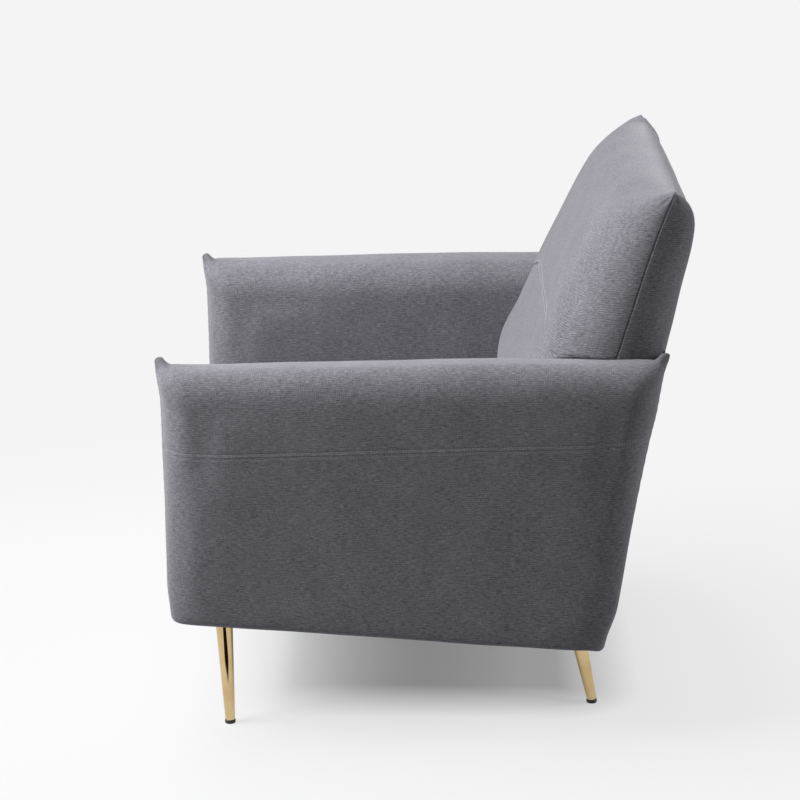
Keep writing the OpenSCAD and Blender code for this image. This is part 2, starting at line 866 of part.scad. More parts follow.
module stud() {
    low = 1 - stud_in_leg;
    translate([0, 0, low]) cylinder(r = stud_r, h = insert_low + insert_len - 2 - low);
}

module leg_inserts() {
    color(steel) for (side = [-1, 1]) {
        front_leg_axis(side) insert();
        rear_leg_axis(side) insert();
    }
}

module insert() {
    translate([0, 0, insert_low]) difference() {
        cylinder(r = insert_r - bore_fit, h = insert_len);
        translate([0, 0, -1]) cylinder(r = stud_r + bore_fit, h = insert_len + 2);
    }
}

seat_front_rail();
seat_rear_rail();
seat_side_rail(1);  // seat_side_rail_left
seat_side_rail(-1);  // seat_side_rail_right
front_corner_blocks();
rear_leg_blocks();
back_stile(1);  // back_stile_left
back_stile(-1);  // back_stile_right
back_top_rail();
back_middle_rail();
back_wing_blocks();
back_board();
back_webbing();
arm_base_board(1);  // arm_base_board_left
arm_base_board(-1);  // arm_base_board_right
arm_front_post(1);  // arm_front_post_left
arm_front_post(-1);  // arm_front_post_right
arm_rear_post(1);  // arm_rear_post_left
arm_rear_post(-1);  // arm_rear_post_right
arm_top_rail(1);  // arm_top_rail_left
arm_top_rail(-1);  // arm_top_rail_right
arm_panels(1);  // arm_panels_left
arm_panels(-1);  // arm_panels_right
arm_bolts();
seat_springs();
spring_clips();
seat_felt();
seat_deck();
front_band_pad();
front_band_cover();
dust_cover();
arm_foam(1);  // arm_foam_left
arm_foam(-1);  // arm_foam_right
arm_cover(1);  // arm_cover_left
arm_cover(-1);  // arm_cover_right
back_foam_upper();
back_foam_lower();
back_cover_upper();
back_cover_lower();
back_wadding();
back_outside_panel();
seat_cushion_foam();
seat_cushion_cover();
seat_cushion_underside();
seat_cushion_zip();
leg_front(1);  // leg_front_left
leg_front(-1);  // leg_front_right
leg_rear(1);  // leg_rear_left
leg_rear(-1);  // leg_rear_right
glide(1, front_top, front_slant);  // glide_front_left
glide(-1, front_top, front_slant);  // glide_front_right
glide(1, rear_top, rear_slant);  // glide_rear_left
glide(-1, rear_top, rear_slant);  // glide_rear_right
leg_studs();
leg_inserts();
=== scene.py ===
"""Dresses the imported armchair: sewn fabric covers, brass legs, timber and springs inside."""
import json
import math
from collections import namedtuple

import bpy
import numpy as np
from mathutils import Matrix, Vector, noise

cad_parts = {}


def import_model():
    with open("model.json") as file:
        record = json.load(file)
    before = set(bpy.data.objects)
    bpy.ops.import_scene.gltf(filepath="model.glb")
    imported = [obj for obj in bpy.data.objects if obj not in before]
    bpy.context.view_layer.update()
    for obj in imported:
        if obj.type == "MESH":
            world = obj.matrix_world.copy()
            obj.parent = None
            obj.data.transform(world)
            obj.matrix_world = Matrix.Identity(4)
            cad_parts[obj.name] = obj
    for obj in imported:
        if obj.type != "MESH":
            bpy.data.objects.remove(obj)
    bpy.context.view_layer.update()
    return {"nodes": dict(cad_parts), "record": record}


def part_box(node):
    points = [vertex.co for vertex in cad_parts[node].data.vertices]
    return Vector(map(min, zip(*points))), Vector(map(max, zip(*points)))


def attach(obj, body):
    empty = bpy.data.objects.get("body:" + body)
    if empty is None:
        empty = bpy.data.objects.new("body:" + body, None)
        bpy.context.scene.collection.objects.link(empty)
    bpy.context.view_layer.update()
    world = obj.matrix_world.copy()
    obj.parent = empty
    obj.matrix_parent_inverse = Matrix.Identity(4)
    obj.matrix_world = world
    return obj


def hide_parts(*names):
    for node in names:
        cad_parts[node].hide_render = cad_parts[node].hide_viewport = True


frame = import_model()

MM = 0.001
NODES = frame["nodes"]

# ---- Places, from the frame ----

SLOPE = math.radians(3.6)  # the underside and the seat run down towards the rear
LEAN = math.radians(9.7)  # the rear face leans back
BAND_IN = 18 * MM  # the front band sits this far behind the arms' front edges
BAND_HEM = 30 * MM  # and turns in this far underneath

band_lo, band_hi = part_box("front_band_cover")
arm_lo, arm_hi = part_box("arm_cover_left")
panel_lo, panel_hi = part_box("back_outside_panel")
pillow_lo, pillow_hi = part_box("back_cover_upper")
low_back_lo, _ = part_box("back_cover_lower")
cushion_lo, cushion_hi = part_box("seat_cushion_cover")

ARM_X = (arm_lo.x + arm_hi.x) / 2
ARM_HALF = (arm_hi.x - arm_lo.x) / 2
INNER_X = band_hi.x
FRONT_Y = band_lo.y - BAND_IN * math.cos(SLOPE)
UNDER_Z = band_lo.z + (BAND_IN + BAND_HEM) * math.sin(SLOPE)
SPLIT_Z = pillow_lo.z  # the back spreads over the arms above this height


def under_z(y):
    """Height of the sloping underside."""
    return UNDER_Z - (y - FRONT_Y) * math.tan(SLOPE)


def rear_y(z):
    """Depth of the leaning rear face."""
    return panel_hi.y + (z - panel_hi.z) * math.tan(LEAN)


def on_base(points):
    """Points on the sloping seat (x across, y back along the underside, z off it) in the chair's frame."""
    turn = Matrix.Rotation(-SLOPE, 3, "X")
    flat = np.asarray(points, float).reshape(-1, 3) @ np.array(turn).T
    return (flat + [0, FRONT_Y, UNDER_Z]).reshape(np.shape(points))


# ---- Curves ----


def ease(x, start, end):
    """0 before start, 1 after end, smooth in between."""
    t = np.clip((np.asarray(x, float) - start) / (end - start), 0, 1)
    return t * t * (3 - 2 * t)


def near(distance, width):
    """1 at no distance, fading to 0 over about twice the width."""
    return np.exp(-((np.asarray(distance, float) / width) ** 2))


def quarter(steps):
    """The angles of a quarter turn."""
    return np.linspace(0, math.pi / 2, steps + 1)


def level(height):
    """A line at one height. A line gives its height at each place along it."""
    return lambda at: height + 0 * at


def raised(line, up):
    """A line moved up by a height."""
    return lambda at: line(at) + up


def between(upper, lower, share):
    """The line at a share of the way down from one line to another."""
    return lambda at: upper(at) * (1 - share) + lower(at) * share


def tip_round(below, radius):
    """How far a corner's outline turns in, at a distance below its tip."""
    up = 1 - min(max(below / radius, 0), 1)
    return radius * (1 - math.sqrt(1 - up**2))


def tucked(x, half, radius):
    """How far a panel's edge turns in beside what it meets."""
    into = np.clip(1 - (half - np.abs(x)) / radius, 0, 1)
    return radius * (1 - np.sqrt(np.maximum(1 - into**2, 0)))


def rounded_run(start, end, radius, end_steps, mid_steps):
    """Places from start to end, closer together at the rounded ends, and how full the form is at each."""
    turn = quarter(end_steps)
    mid = np.linspace(start + radius, end - radius, mid_steps + 1)[1:-1]
    rounding = radius * (1 - np.cos(turn))
    places = np.concatenate([start + rounding, mid, (end - rounding)[::-1]])
    fullness = np.concatenate([np.sin(turn), np.ones(len(mid)), np.sin(turn)[::-1]])
    return places, fullness


# ---- Grids of points, from which every cover is made ----


def spline(grid, places):
    """The grid's rows at fractional row numbers, on a smooth curve through its rows."""
    padded = np.concatenate([2 * grid[:1] - grid[1:2], grid, 2 * grid[-1:] - grid[-2:-1]])
    whole = np.clip(np.floor(places).astype(int), 0, len(grid) - 2)
    t = (places - whole)[:, None, None]
    a, b, c, d = (padded[whole + k] for k in range(4))
    return 0.5 * (2 * b + (c - a) * t + (2 * a - 5 * b + 4 * c - d) * t**2 + (3 * b - a - 3 * c + d) * t**3)


def resample(grid, rows, columns):
    return spline(spline(grid, rows).transpose(1, 0, 2), columns).transpose(1, 0, 2)


def row_places(last, step, seams, offsets):
    """Row numbers from 0 to last, with extra ones at offsets on both sides of each seam's row."""
    reach = max(offsets)
    plain = [k for k in np.linspace(0, last, round(last / step) + 1)
             if all(abs(k - seam) > reach * 1.05 for seam in seams) or k in (0, last)]
    extra = [seam + side * offset for seam in seams for offset in offsets for side in (-1, 1)]
    return np.unique(np.clip(np.round(np.array(plain + extra + list(seams)), 6), 0, last))


def run_of(grid, axis):
    """Length along the rows (axis 1) or columns (axis 0) up to each point."""
    steps = np.linalg.norm(np.diff(grid, axis=axis), axis=2)
    start = np.zeros_like(np.take(steps, [0], axis=axis))
    return np.concatenate([start, np.cumsum(steps, axis=axis)], axis=axis)


def past_seam(grid, rows, seam):
    """How far each point is down the cloth from a seam's row."""
    down = run_of(grid, 0)
    return down - down[[int(np.argmin(np.abs(rows - seam)))]]


def from_ends(grid):
    """How far each point is along the cloth from the nearer end of its row."""
    along = run_of(grid, 1)
    return np.minimum(along, along[:, -1:] - along)


def weld(grid):
    """The grid's separate points, and for each place in the grid the number of its point."""
    flat = grid.reshape(-1, 3)
    _, first, number = np.unique(np.round(flat / (0.02 * MM)), axis=0, return_index=True, return_inverse=True)
    return flat[first], number.reshape(grid.shape[:2])


def facing_out(points, faces):
    """Whether a closed mesh's faces look outwards."""
    volume = 0
    for face in faces:
        for k in range(1, len(face) - 1):
            volume += np.dot(points[face[0]], np.cross(points[face[k]], points[face[k + 1]]))
    return volume > 0


def grid_faces(points, number):
    """Corner numbers of the grid's faces, seen from outside, and where each corner is in the grid."""
    faces, corners = [], []
    for i in range(number.shape[0] - 1):
        for j in range(number.shape[1] - 1):
            kept = []
            for place in [(i, j), (i, j + 1), (i + 1, j + 1), (i + 1, j)]:
                if number[place] not in [number[k] for k in kept]:
                    kept.append(place)
            if len(kept) > 2:
                faces.append([int(number[k]) for k in kept])
                corners.append(kept)
    if facing_out(points - points.mean(0), faces):
        return faces, corners
    return [face[::-1] for face in faces], [ring[::-1] for ring in corners]


# ---- Making pieces ----


def piece(name, points, faces, material, body="chair"):
    """A new mesh that rides on a body."""
    mesh = bpy.data.meshes.new(name)
    mesh.from_pydata([tuple(p) for p in points], [], faces)
    mesh.validate()
    mesh.materials.append(material)
    mesh.shade_smooth()
    made = bpy.data.objects.new(name, mesh)
    bpy.context.scene.collection.objects.link(made)
    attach(made, body)
    return made


def read(items, name):
    """A vector of each of a mesh's items."""
    out = np.zeros(len(items) * 3, np.float32)
    items.foreach_get(name, out)
    return out.reshape(-1, 3).astype(float)


def cloth_piece(name, grid, lift, material, body="chair"):
    """A sewn cover from a grid: welded, raised or sunk by lift, with its thread directions as a UV map."""
    points, number = weld(grid)
    faces, corners = grid_faces(points, number)
    made = piece(name, points, faces, material, body)
    normals = read(made.data.vertex_normals, "vector")
    rise = np.zeros(len(points))
    rise[number.ravel()] = lift.ravel()
    points = points + normals * rise[:, None]
    made.data.vertices.foreach_set("co", points.astype(np.float32).ravel())
    middle = grid.shape[1] // 2
    along = run_of(grid, 1)
    along = along - along[:, [middle]]
    down = run_of(grid, 0)[:, middle]
    layer = made.data.uv_layers.new(name="threads")
    spots = [(along[i, j], down[i]) for ring in corners for i, j in ring]
    layer.data.foreach_set("uv", np.array(spots, np.float32).ravel())
    made.data.update()
    return made, points[number]


def padded_cover(name, grid, lift, replaced, body="chair"):
    """A cover over its padding, in the place of the frame's pieces. Gives its finished points."""
    made, placed = cloth_piece(name, grid, lift, COVER, body)
    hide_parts(*replaced)
    return placed


def even_out(move, number, held, passes=30):
    """Smooths a cover's movement, so that no small wrinkles stay in it and held points don't move."""
    times = np.bincount(number.ravel())
    for _ in range(passes):
        spread = move[number]
        wide = np.pad(spread, ((1, 1), (1, 1), (0, 0)), "edge")
        spread = (4 * spread + wide[:-2, 1:-1] + wide[2:, 1:-1] + wide[1:-1, :-2] + wide[1:-1, 2:]) / 8
        spread[held] = 0
        move = np.stack([np.bincount(number.ravel(), spread[..., k].ravel()) / times for k in range(3)], 1)
    return move


def held_down(grid, first, last, ends=True):
    """Which points are sewn or tacked down: the first and last rows, and both ends of every row."""
    held = np.zeros(grid.shape[:2], bool)
    held[:first] = True
    held[len(grid) - last:] = True
    if ends:
        held[:, [0, -1]] = True
    return held


SETTLE_FRAMES = 16


def settle(grid, held, pressure, cap):
    """Blows a cover up against its own stretch and its held points. No point moves past cap."""
    points, number = weld(grid)
    faces, _ = grid_faces(points, number)
    mesh = bpy.data.meshes.new("settling")
    mesh.from_pydata([tuple(p) for p in points], [], faces)
    cover = bpy.data.objects.new("settling", mesh)
    scene = bpy.context.scene
    scene.collection.objects.link(cover)
    group = cover.vertex_groups.new(name="held")
    group.add([int(k) for k in np.unique(number[held])], 1.0, "REPLACE")
    modifier = cover.modifiers.new("Cloth", "CLOTH")
    modifier.collision_settings.use_collision = False
    cloth = modifier.settings
    cloth.vertex_group_mass = "held"
    cloth.quality = 6
    cloth.mass = 0.4
    cloth.tension_stiffness = 25
    cloth.compression_stiffness = 25
    cloth.shear_stiffness = 12
    cloth.bending_stiffness = 3
    cloth.use_pressure = True
    cloth.uniform_pressure_force = pressure
    cloth.effector_weights.gravity = 0
    for number_of_frame in range(1, SETTLE_FRAMES + 1):
        scene.frame_set(number_of_frame)
    shaped = cover.evaluated_get(bpy.context.evaluated_depsgraph_get()).data
    move = even_out(read(shaped.vertices, "co") - points, number, held)
    length = np.linalg.norm(move, axis=1, keepdims=True) + 1e-9
    move *= cap * np.tanh(length / cap) / length
    scene.frame_set(1)
    bpy.data.objects.remove(cover)
    bpy.data.meshes.remove(mesh)
    return (points + move)[number]


TURNED_SIDES = 64


def tube_faces(rings, sides, start=0):
    """The faces round a run of rings of points, and over its two ends. Start is the first point's number."""
    last = start + (rings - 1) * sides
    faces = []
    for ring in range(start, last, sides):
        for k in range(sides):
            a, b = ring + k, ring + (k + 1) % sides
            faces.append([a, b, b + sides, a + sides])
    return faces + [[start + k for k in range(sides)][::-1], [last + k for k in range(sides)]]


def lathe(name, profile, foot, axis, material):
    """A turned piece about an axis through foot. The profile is [distance along the axis, radius]."""
    upright = Vector((0, 0, 1)).rotation_difference(Vector(axis)).to_matrix()
    points = []
    for along, radius in profile:
        for angle in np.linspace(0, 2 * math.pi, TURNED_SIDES, endpoint=False):
            spoke = Vector((radius * math.cos(angle), radius * math.sin(angle), along))
            points.append(Vector(foot) + upright @ spoke)
    return piece(name, points, tube_faces(len(profile), TURNED_SIDES), material)


# ---- Stitches ----

STITCH_PITCH = 4.2 * MM
STITCH_LENGTH = 3.3 * MM
THREAD_R = 0.55 * MM
THREAD_SIDES = 6
# A stitch's rings: place along it, radius and height off the cloth, as shares of its length and radius.
STITCH_RINGS = [(-0.5, 0.35, -0.7), (-0.3, 1, 0.2), (0.3, 1, 0.2), (0.5, 0.35, -0.7)]


def unit(vector):
    return vector / np.linalg.norm(vector)


def one_stitch(middle, way, off):
    """The rings of a short thread that lies along way on the cloth and dips in at its ends."""
    way = unit(way)
    off = unit(off - way * np.dot(off, way))
    cross = np.cross(way, off)
    points = []
    for place, size, height in STITCH_RINGS:
        centre = middle + way * place * STITCH_LENGTH + off * (height * THREAD_R)
        for angle in np.arange(THREAD_SIDES) * 2 * math.pi / THREAD_SIDES:
            spoke = off * math.cos(angle) + cross * math.sin(angle)
            points.append(centre + spoke * THREAD_R * size)
    return points


def stitches(name, lines):
    """A seam's stitches, as one piece. A line is its points and the way off the cloth at each."""
    points, faces = [], []
    for line, off in lines:
        gone = run_of(line[None], 1)[0]
        middles = np.arange(STITCH_PITCH, gone[-1] - STITCH_PITCH, STITCH_PITCH)
        at, ahead, out = [
            np.stack([np.interp(places, gone, values[:, k]) for k in range(3)], 1)
            for places, values in ((middles, line), (middles + STITCH_PITCH / 2, line), (middles, off))
        ]
        for middle, way, up in zip(at, ahead - at, out):
            faces += tube_faces(len(STITCH_RINGS), THREAD_SIDES, len(points))
            points += one_stitch(middle, way, up)
    piece(name, points, faces, STITCH)


def stitch_line(placed, distance, offset, skip):
    """A line on a finished cover at an offset from its seam, and the way off the cloth along it."""
    row = int(np.argmin(np.abs(distance.mean(1) - offset)))
    line = placed[row, skip:-skip]
    beside = placed[min(row + 1, len(placed) - 1), skip:-skip] - placed[row - 1, skip:-skip]
    off = np.cross(np.gradient(line, axis=0), beside)
    if np.sum(off * (line - placed.reshape(-1, 3).mean(0))) < 0:
        off = -off
    return line, off


# ---- Materials ----


def colour(code):
    """An sRGB hex colour as linear RGBA."""
    parts = [int(code[k:k + 2], 16) / 255 for k in (1, 3, 5)]
    return tuple(p / 12.92 if p <= 0.04045 else ((p + 0.055) / 1.055) ** 2.4 for p in parts) + (1.0,)


def add(tree, kind, sockets=None, stops=(), **settings):
    """Adds a node. Its sockets take plain values, outputs, or nodes for their first output."""
    made = tree.nodes.new("ShaderNode" + kind)
    for name, value in settings.items():
        setattr(made, name, value)
    for name, value in (sockets or {}).items():
        if isinstance(value, bpy.types.Node):
            value = value.outputs[0]
        if isinstance(value, bpy.types.NodeSocket):
            tree.links.new(value, made.inputs[name])
        else:
            made.inputs[name].default_value = value
    for _ in stops[2:]:
        made.color_ramp.elements.new(0.5)
    for number, (place, code) in enumerate(stops):
        made.color_ramp.elements[number].position = place
        made.color_ramp.elements[number].color = colour(code)
    return made


def material(name, coordinates="TexCoord", output="Object", **settings):
    """An empty material, its nodes, and the places on the piece that its patterns follow."""
    made = bpy.data.materials.new(name)
    made.use_nodes = True
    tree = made.node_tree
    tree.nodes.clear()
    return made, tree, add(tree, coordinates, **settings).outputs[output]


def finished(made, tree, sockets):
    """The material, with its surface's settings."""
    shader = add(tree, "BsdfPrincipled", sockets)
    add(tree, "OutputMaterial", {"Surface": shader})
    return made


def drawn_out(tree, place, stretch, sockets, shift=(0, 0, 0)):
    """Noise that is drawn out one way, as yarn, wood grain and lapping marks are."""
    drawn = add(tree, "VectorMath", {0: place, 1: stretch, 2: shift}, operation="MULTIPLY_ADD")
    return add(tree, "TexNoise", {"Vector": drawn, "Scale": 1.0, **sockets})


# Melange polyester upholstery cloth: a plain weave of slubby yarn in two greys. It looks matt, with
# short light and dark flecks along the weft, longer thick places and a soft sheen at a shallow angle.
# The real yarn is 0.7 mm thick. It and its flecks are drawn about twice as coarse, so that they show.
THREAD = 1.5 * MM
FLECK_LENGTH = 8 * MM
FLECK_WIDTH = 1.3 * MM
DASH_LENGTH = 12 * MM
DASH_WIDTH = 1.6 * MM
SLUB_LENGTH = 20 * MM
SLUB_WIDTH = 2.4 * MM
PER_THREAD = 1 / THREAD / 20 * math.pi  # the wave texture's scale for one wave a thread


def woven_cloth(name, dark, mid, light):
    made, tree, threads = material(name, "UVMap", "UV", uv_map="threads")
    flecks = drawn_out(tree, threads, (1 / FLECK_LENGTH, 1 / FLECK_WIDTH, 1),
                       {"Detail": 3.0, "Roughness": 0.6})
    cross = drawn_out(tree, threads, (1 / FLECK_WIDTH, 1 / FLECK_LENGTH, 1),
                      {"Detail": 2.0, "Roughness": 0.6})
    slubs = drawn_out(tree, threads, (1 / SLUB_LENGTH, 1 / SLUB_WIDTH, 1), {"Detail": 2.0})
    thick_yarn = drawn_out(tree, threads, (1 / DASH_LENGTH, 1 / DASH_WIDTH, 1), {"Detail": 1.0}, (40, 17, 3))
    cloud = add(tree, "TexNoise", {"Vector": threads, "Scale": 16.0, "Detail": 4.0, "Roughness": 0.7})
    weft, warp = [
        add(tree, "TexWave", {"Vector": threads, "Scale": PER_THREAD, "Distortion": 2.0, "Detail": 1.0,
                              "Detail Scale": 60.0}, bands_direction=way).outputs["Fac"]
        for way in "YX"
    ]
    yarns = add(tree, "Mix", {0: 0.33, 2: flecks, 3: cross}, data_type="FLOAT")
    shade = yarns
    for share, other in ((0.15, slubs), (0.12, cloud), (0.055, weft), (0.035, warp)):
        shade = add(tree, "Mix", {0: share, 2: shade, 3: other}, data_type="FLOAT")
    plain = add(tree, "ValToRGB", {"Fac": shade}, [(0.38, dark), (0.5, mid), (0.62, light)])
    dashes = add(tree, "MapRange", {"Value": thick_yarn, 1: 0.60, 2: 0.70, 3: 0.0, 4: 0.75})
    tone = add(tree, "Mix", {0: dashes, 6: plain, 7: colour(dark)}, data_type="RGBA").outputs[2]
    weave = add(tree, "Math", {0: weft, 1: warp}, operation="MULTIPLY")
    height = add(tree, "Mix", {0: 0.6, 2: weave, 3: yarns}, data_type="FLOAT")
    bump = add(tree, "Bump", {"Height": height, "Strength": 0.4, "Distance": 0.4 * MM})
    return finished(made, tree, {
        "Base Color": tone, "Roughness": 0.92, "Specular IOR Level": 0.25, "Sheen Weight": 0.5,
        "Sheen Roughness": 0.4, "Sheen Tint": colour("#D6D6DC"), "Normal": bump
    })


# Polyester sewing thread: a shade lighter than the cloth, with a slight gloss and a fine twist.
def sewing_thread(name, dark, light):
    made, tree, place = material(name)
    twist = add(tree, "TexNoise", {"Vector": place, "Scale": 900.0, "Detail": 1.0})
    tone = add(tree, "ValToRGB", {"Fac": twist}, [(0.35, dark), (0.7, light)])
    return finished(made, tree, {"Base Color": tone, "Roughness": 0.6, "Sheen Weight": 0.2})


# Brass-plated steel tube, machine polished: a mirror-like yellow metal with faint lapping marks.
def polished_brass():
    made, tree, place = material("polished_brass")
    laps = drawn_out(tree, place, (40, 40, 900), {"Detail": 2.0})
    haze = add(tree, "TexNoise", {"Vector": place, "Scale": 30.0, "Detail": 3.0})
    rough = add(tree, "MapRange", {"Value": haze, 1: 0.3, 2: 0.7, 3: 0.05, 4: 0.11})
    tone = add(tree, "ValToRGB", {"Fac": haze}, [(0.3, "#C7AC7C"), (0.7, "#D8BF92")])
    bump = add(tree, "Bump", {"Height": laps, "Strength": 0.05, "Distance": 0.1 * MM})
    return finished(made, tree, {"Base Color": tone, "Metallic": 1.0, "Roughness": rough, "Normal": bump})


# Injection-moulded nylon: black, with a satin skin and a fine grained touch.
def moulded_nylon(name, dark, light):
    made, tree, place = material(name)
    grain = add(tree, "TexNoise", {"Vector": place, "Scale": 1500.0, "Detail": 2.0})
    tone = add(tree, "ValToRGB", {"Fac": grain}, [(0.3, dark), (0.8, light)])
    bump = add(tree, "Bump", {"Height": grain, "Strength": 0.1, "Distance": 0.1 * MM})
    return finished(made, tree, {"Base Color": tone, "Roughness": 0.42, "Normal": bump})


# Spunbonded polypropylene, elastic webbing and needled felt: matt, with a fine dimple pattern.
def lining_cloth(name, dark, light, cell):
    made, tree, place = material(name)
    dimples = add(tree, "TexVoronoi", {"Vector": place, "Scale": 1 / cell})
    fibres = add(tree, "TexNoise", {"Vector": place, "Scale": 0.6 / cell, "Detail": 4.0})
    both = add(tree, "Mix", {0: 0.5, 2: dimples.outputs["Distance"], 3: fibres}, data_type="FLOAT")
    tone = add(tree, "ValToRGB", {"Fac": both}, [(0.2, dark), (0.7, light)])
    bump = add(tree, "Bump", {"Height": both, "Strength": 0.4, "Distance": 0.3 * MM})
    return finished(made, tree, {
        "Base Color": tone, "Roughness": 0.85, "Specular IOR Level": 0.3, "Normal": bump
    })


# Sawn softwood and pressed board: pale, dry wood with its grain along one axis.
def sawn_timber(name, stops, grain_width, axis):
    made, tree, place = material(name)
    stretch = [1 / grain_width] * 3
    stretch[axis] = 0.06 / grain_width
    grain = drawn_out(tree, place, stretch, {"Detail": 5.0, "Distortion": 0.8})
    tone = add(tree, "ValToRGB", {"Fac": grain}, stops)
    bump = add(tree, "Bump", {"Height": grain, "Strength": 0.3, "Distance": 0.4 * MM})
    return finished(made, tree, {"Base Color": tone, "Roughness": 0.7, "Normal": bump})


# Zinc-plated and spring steel: grey metal with a dull, slightly cloudy surface.
def plated_steel():
    made, tree, place = material("plated_steel")
    cloud = add(tree, "TexNoise", {"Vector": place, "Scale": 180.0, "Detail": 4.0})
    tone = add(tree, "ValToRGB", {"Fac": cloud}, [(0.3, "#9A9CA0"), (0.7, "#BFC1C4")])
    rough = add(tree, "MapRange", {"Value": cloud, 1: 0.3, 2: 0.7, 3: 0.3, 4: 0.5})
    return finished(made, tree, {"Base Color": tone, "Metallic": 1.0, "Roughness": rough})


COVER = woven_cloth("melange_cloth", "#4E4E52", "#6C6B71", "#8A898F")
STITCH = sewing_thread("cover_thread", "#828187", "#98989D")
BRASS = polished_brass()
NYLON = moulded_nylon("black_nylon", "#0C0D10", "#16171B")
ZIP = moulded_nylon("zip_nylon", "#26262A", "#36363B")
LINING = lining_cloth("black_lining", "#141416", "#26262A", 1.6 * MM)
WEBBING = lining_cloth("elastic_webbing", "#1A1A1C", "#34343A", 2.4 * MM)
FELT = lining_cloth("needled_felt", "#8A867C", "#B4AFA3", 3 * MM)
STEEL = plated_steel()
PINE_TONES = [(0.3, "#B98F5E"), (0.5, "#CBA26F"), (0.7, "#DDBB8A")]
PINE = [sawn_timber("sawn_pine_" + "xyz"[axis], PINE_TONES, 3 * MM, axis) for axis in range(3)]
HARDBOARD = sawn_timber("hardboard", [(0.3, "#6B4A30"), (0.7, "#8A6444")], 2 * MM, 0)

# ---- How sewn cloth lies ----

TWIN_HALF = 3.4 * MM  # half the space between a twin-needle seam's two lines
# Extra rows beside a twin seam, and extra columns at the end seams, in steps of the coarse grid.
FINE_ROWS = [k * 0.11 for k in (0.5, 1.1, 1.8, 2.4, 3.0, 3.6, 4.3, 5.2, 6.4, 8)]
FINE_ENDS = [0.06, 0.14, 0.24, 0.38, 0.55, 0.75, 1.0, 1.3, 1.65, 2.05, 2.5, 3.0, 3.6, 4.3, 5.1]
ROW_STEP = 0.85


def end_places(last):
    """Column numbers, close together at both end seams."""
    middle = np.linspace(6, last - 6, last - 11)
    return np.concatenate([[0], FINE_ENDS, middle, last - np.array(FINE_ENDS[::-1]), [last]])


def refined(grid, seam):
    """A cover's fine grid, and how far its points are down the cloth from the seam's row."""
    rows = row_places(len(grid) - 1, ROW_STEP, [seam], FINE_ROWS)
    fine = resample(grid, rows, end_places(grid.shape[1] - 1))
    return fine, past_seam(fine, rows, seam)


def seam_lift(grid, depth, width):
    """The groove along the seams at both ends of a grid, with slight puckers beside it."""
    away = from_ends(grid)
    down = run_of(grid, 0)[:, [0]]
    pucker = 0.35 * MM * np.sin(2 * np.pi * down / (17 * MM) + 3 * np.sin(down / (60 * MM)))
    return -depth * near(away, width) + pucker * near(away - 7 * MM, 6 * MM)


def twin_lift(distance):
    """Across a twin-needle seam: two sunk stitch lines with a soft ridge between and outside them."""
    away = np.abs(distance)
    return (-0.65 * MM * near(away - TWIN_HALF, 1.0 * MM) + 0.4 * MM * near(away, 1.8 * MM)
            + 0.2 * MM * near(away - TWIN_HALF - 4 * MM, 2.5 * MM))


def rumple(grid, size, amount, seed):
    """Low waves all over a cover, as cloth over foam has."""
    away = Vector((seed, 0, 0))
    return np.array([[noise.noise(Vector(p) / size + away) for p in row] for row in grid]) * amount


def ear_folds(grid, ears, count, amount, reach, flat_axis):
    """Creases that run out from each ear, across the flat axis."""
    lift = np.zeros(grid.shape[:2])
    others = [k for k in range(3) if k != flat_axis]
    for ear in ears:
        away = (grid - np.array(ear))[..., others]
        length = np.linalg.norm(away, axis=2) + 1e-6
        wave = np.sin(count * np.arctan2(away[..., 1], away[..., 0]) * 2 + 0.8)
        lift += amount * wave * ease(length, 6 * MM, 16 * MM) * near(length, reach)
    return lift


# ---- Arms ----

SHOULDER_R = 48 * MM
ARM_END_R = 50 * MM
EDGE_R = 10 * MM
CORNER_R = 5 * MM
SAG = 1 * MM
ARM_TAPER = 4 * MM
ARM_TILT = 4.2 * MM  # the top's outer side stands up and its inner side lies down by this much
SETTLE_ROOM = 3 * MM  # each side starts this much further in, and settling fills it out
EAR_FRONT = arm_lo.y
EAR_REAR = arm_hi.y
EAR_R = 5 * MM
ARM_TOP_FRONT = 572.5 * MM
ARM_TOP_REAR = 584.5 * MM
ARM_UNDER_ROWS = 8  # rows underneath, tacked to the frame


def top_line(y):
    """Height of the arm's top between the ears: a slow rise, then a slight dip before each ear."""
    line = ARM_TOP_FRONT + (ARM_TOP_REAR - ARM_TOP_FRONT) * ease(y, -0.50, 0.30)
    line = line - 3 * MM * (1 - ease(y, EAR_FRONT + 60 * MM, EAR_FRONT + 190 * MM))
    line = line + 2.0 * MM * near(y - 20 * MM, 200 * MM) - 1.5 * MM * ease(y, 180 * MM, 280 * MM)
    return line - 1.5 * MM * near(EAR_REAR - y - 12 * MM, 26 * MM)


def arm_top(y):
    """The top line with its two ears: flaps that stand up where the end seams meet the fold."""
    front, rear = y - EAR_FRONT, EAR_REAR - y
    front_ear = 12 * MM * (1 - ease(front, 6 * MM, 19 * MM))
    rear_ear = 11.5 * MM * (1 - ease(rear, 4 * MM, 18 * MM))
    return top_line(y) + front_ear + rear_ear


def arm_front(z):
    """Depth of the front seam: it leans forward slightly and flares into the ear."""
    lean = (z - UNDER_Z) * math.tan(math.radians(1.1))
    foot = 5.5 * MM * (1 - ease(z, 0.19, 0.25))
    return FRONT_Y - 1.8 * MM - lean + foot - 5.6 * MM * ease(z, arm_hi.z - 80 * MM, arm_hi.z - 12 * MM)


def arm_rear(z):
    """Depth of the rear seam: it leans back, bows in slightly and flares into the ear."""
    rise = (z - 0.15) / 0.43
    bow = 3 * MM * math.sin(math.pi * min(max(rise, 0), 1))
    rear = rear_y(z) + 2.5 * MM - 8 * MM * (1 - ease(z, 0.15, 0.21)) - bow
    return rear - 1.5 * MM * ease(z, 0.50, 0.56) + 3.5 * MM * ease(z, 0.56, arm_hi.z)


def arm_seam(y):
    """Height of the twin-needle seam along the arm's outer side."""
    return 0.4485 + 0.0235 * ease(y, -0.52, 0.42)


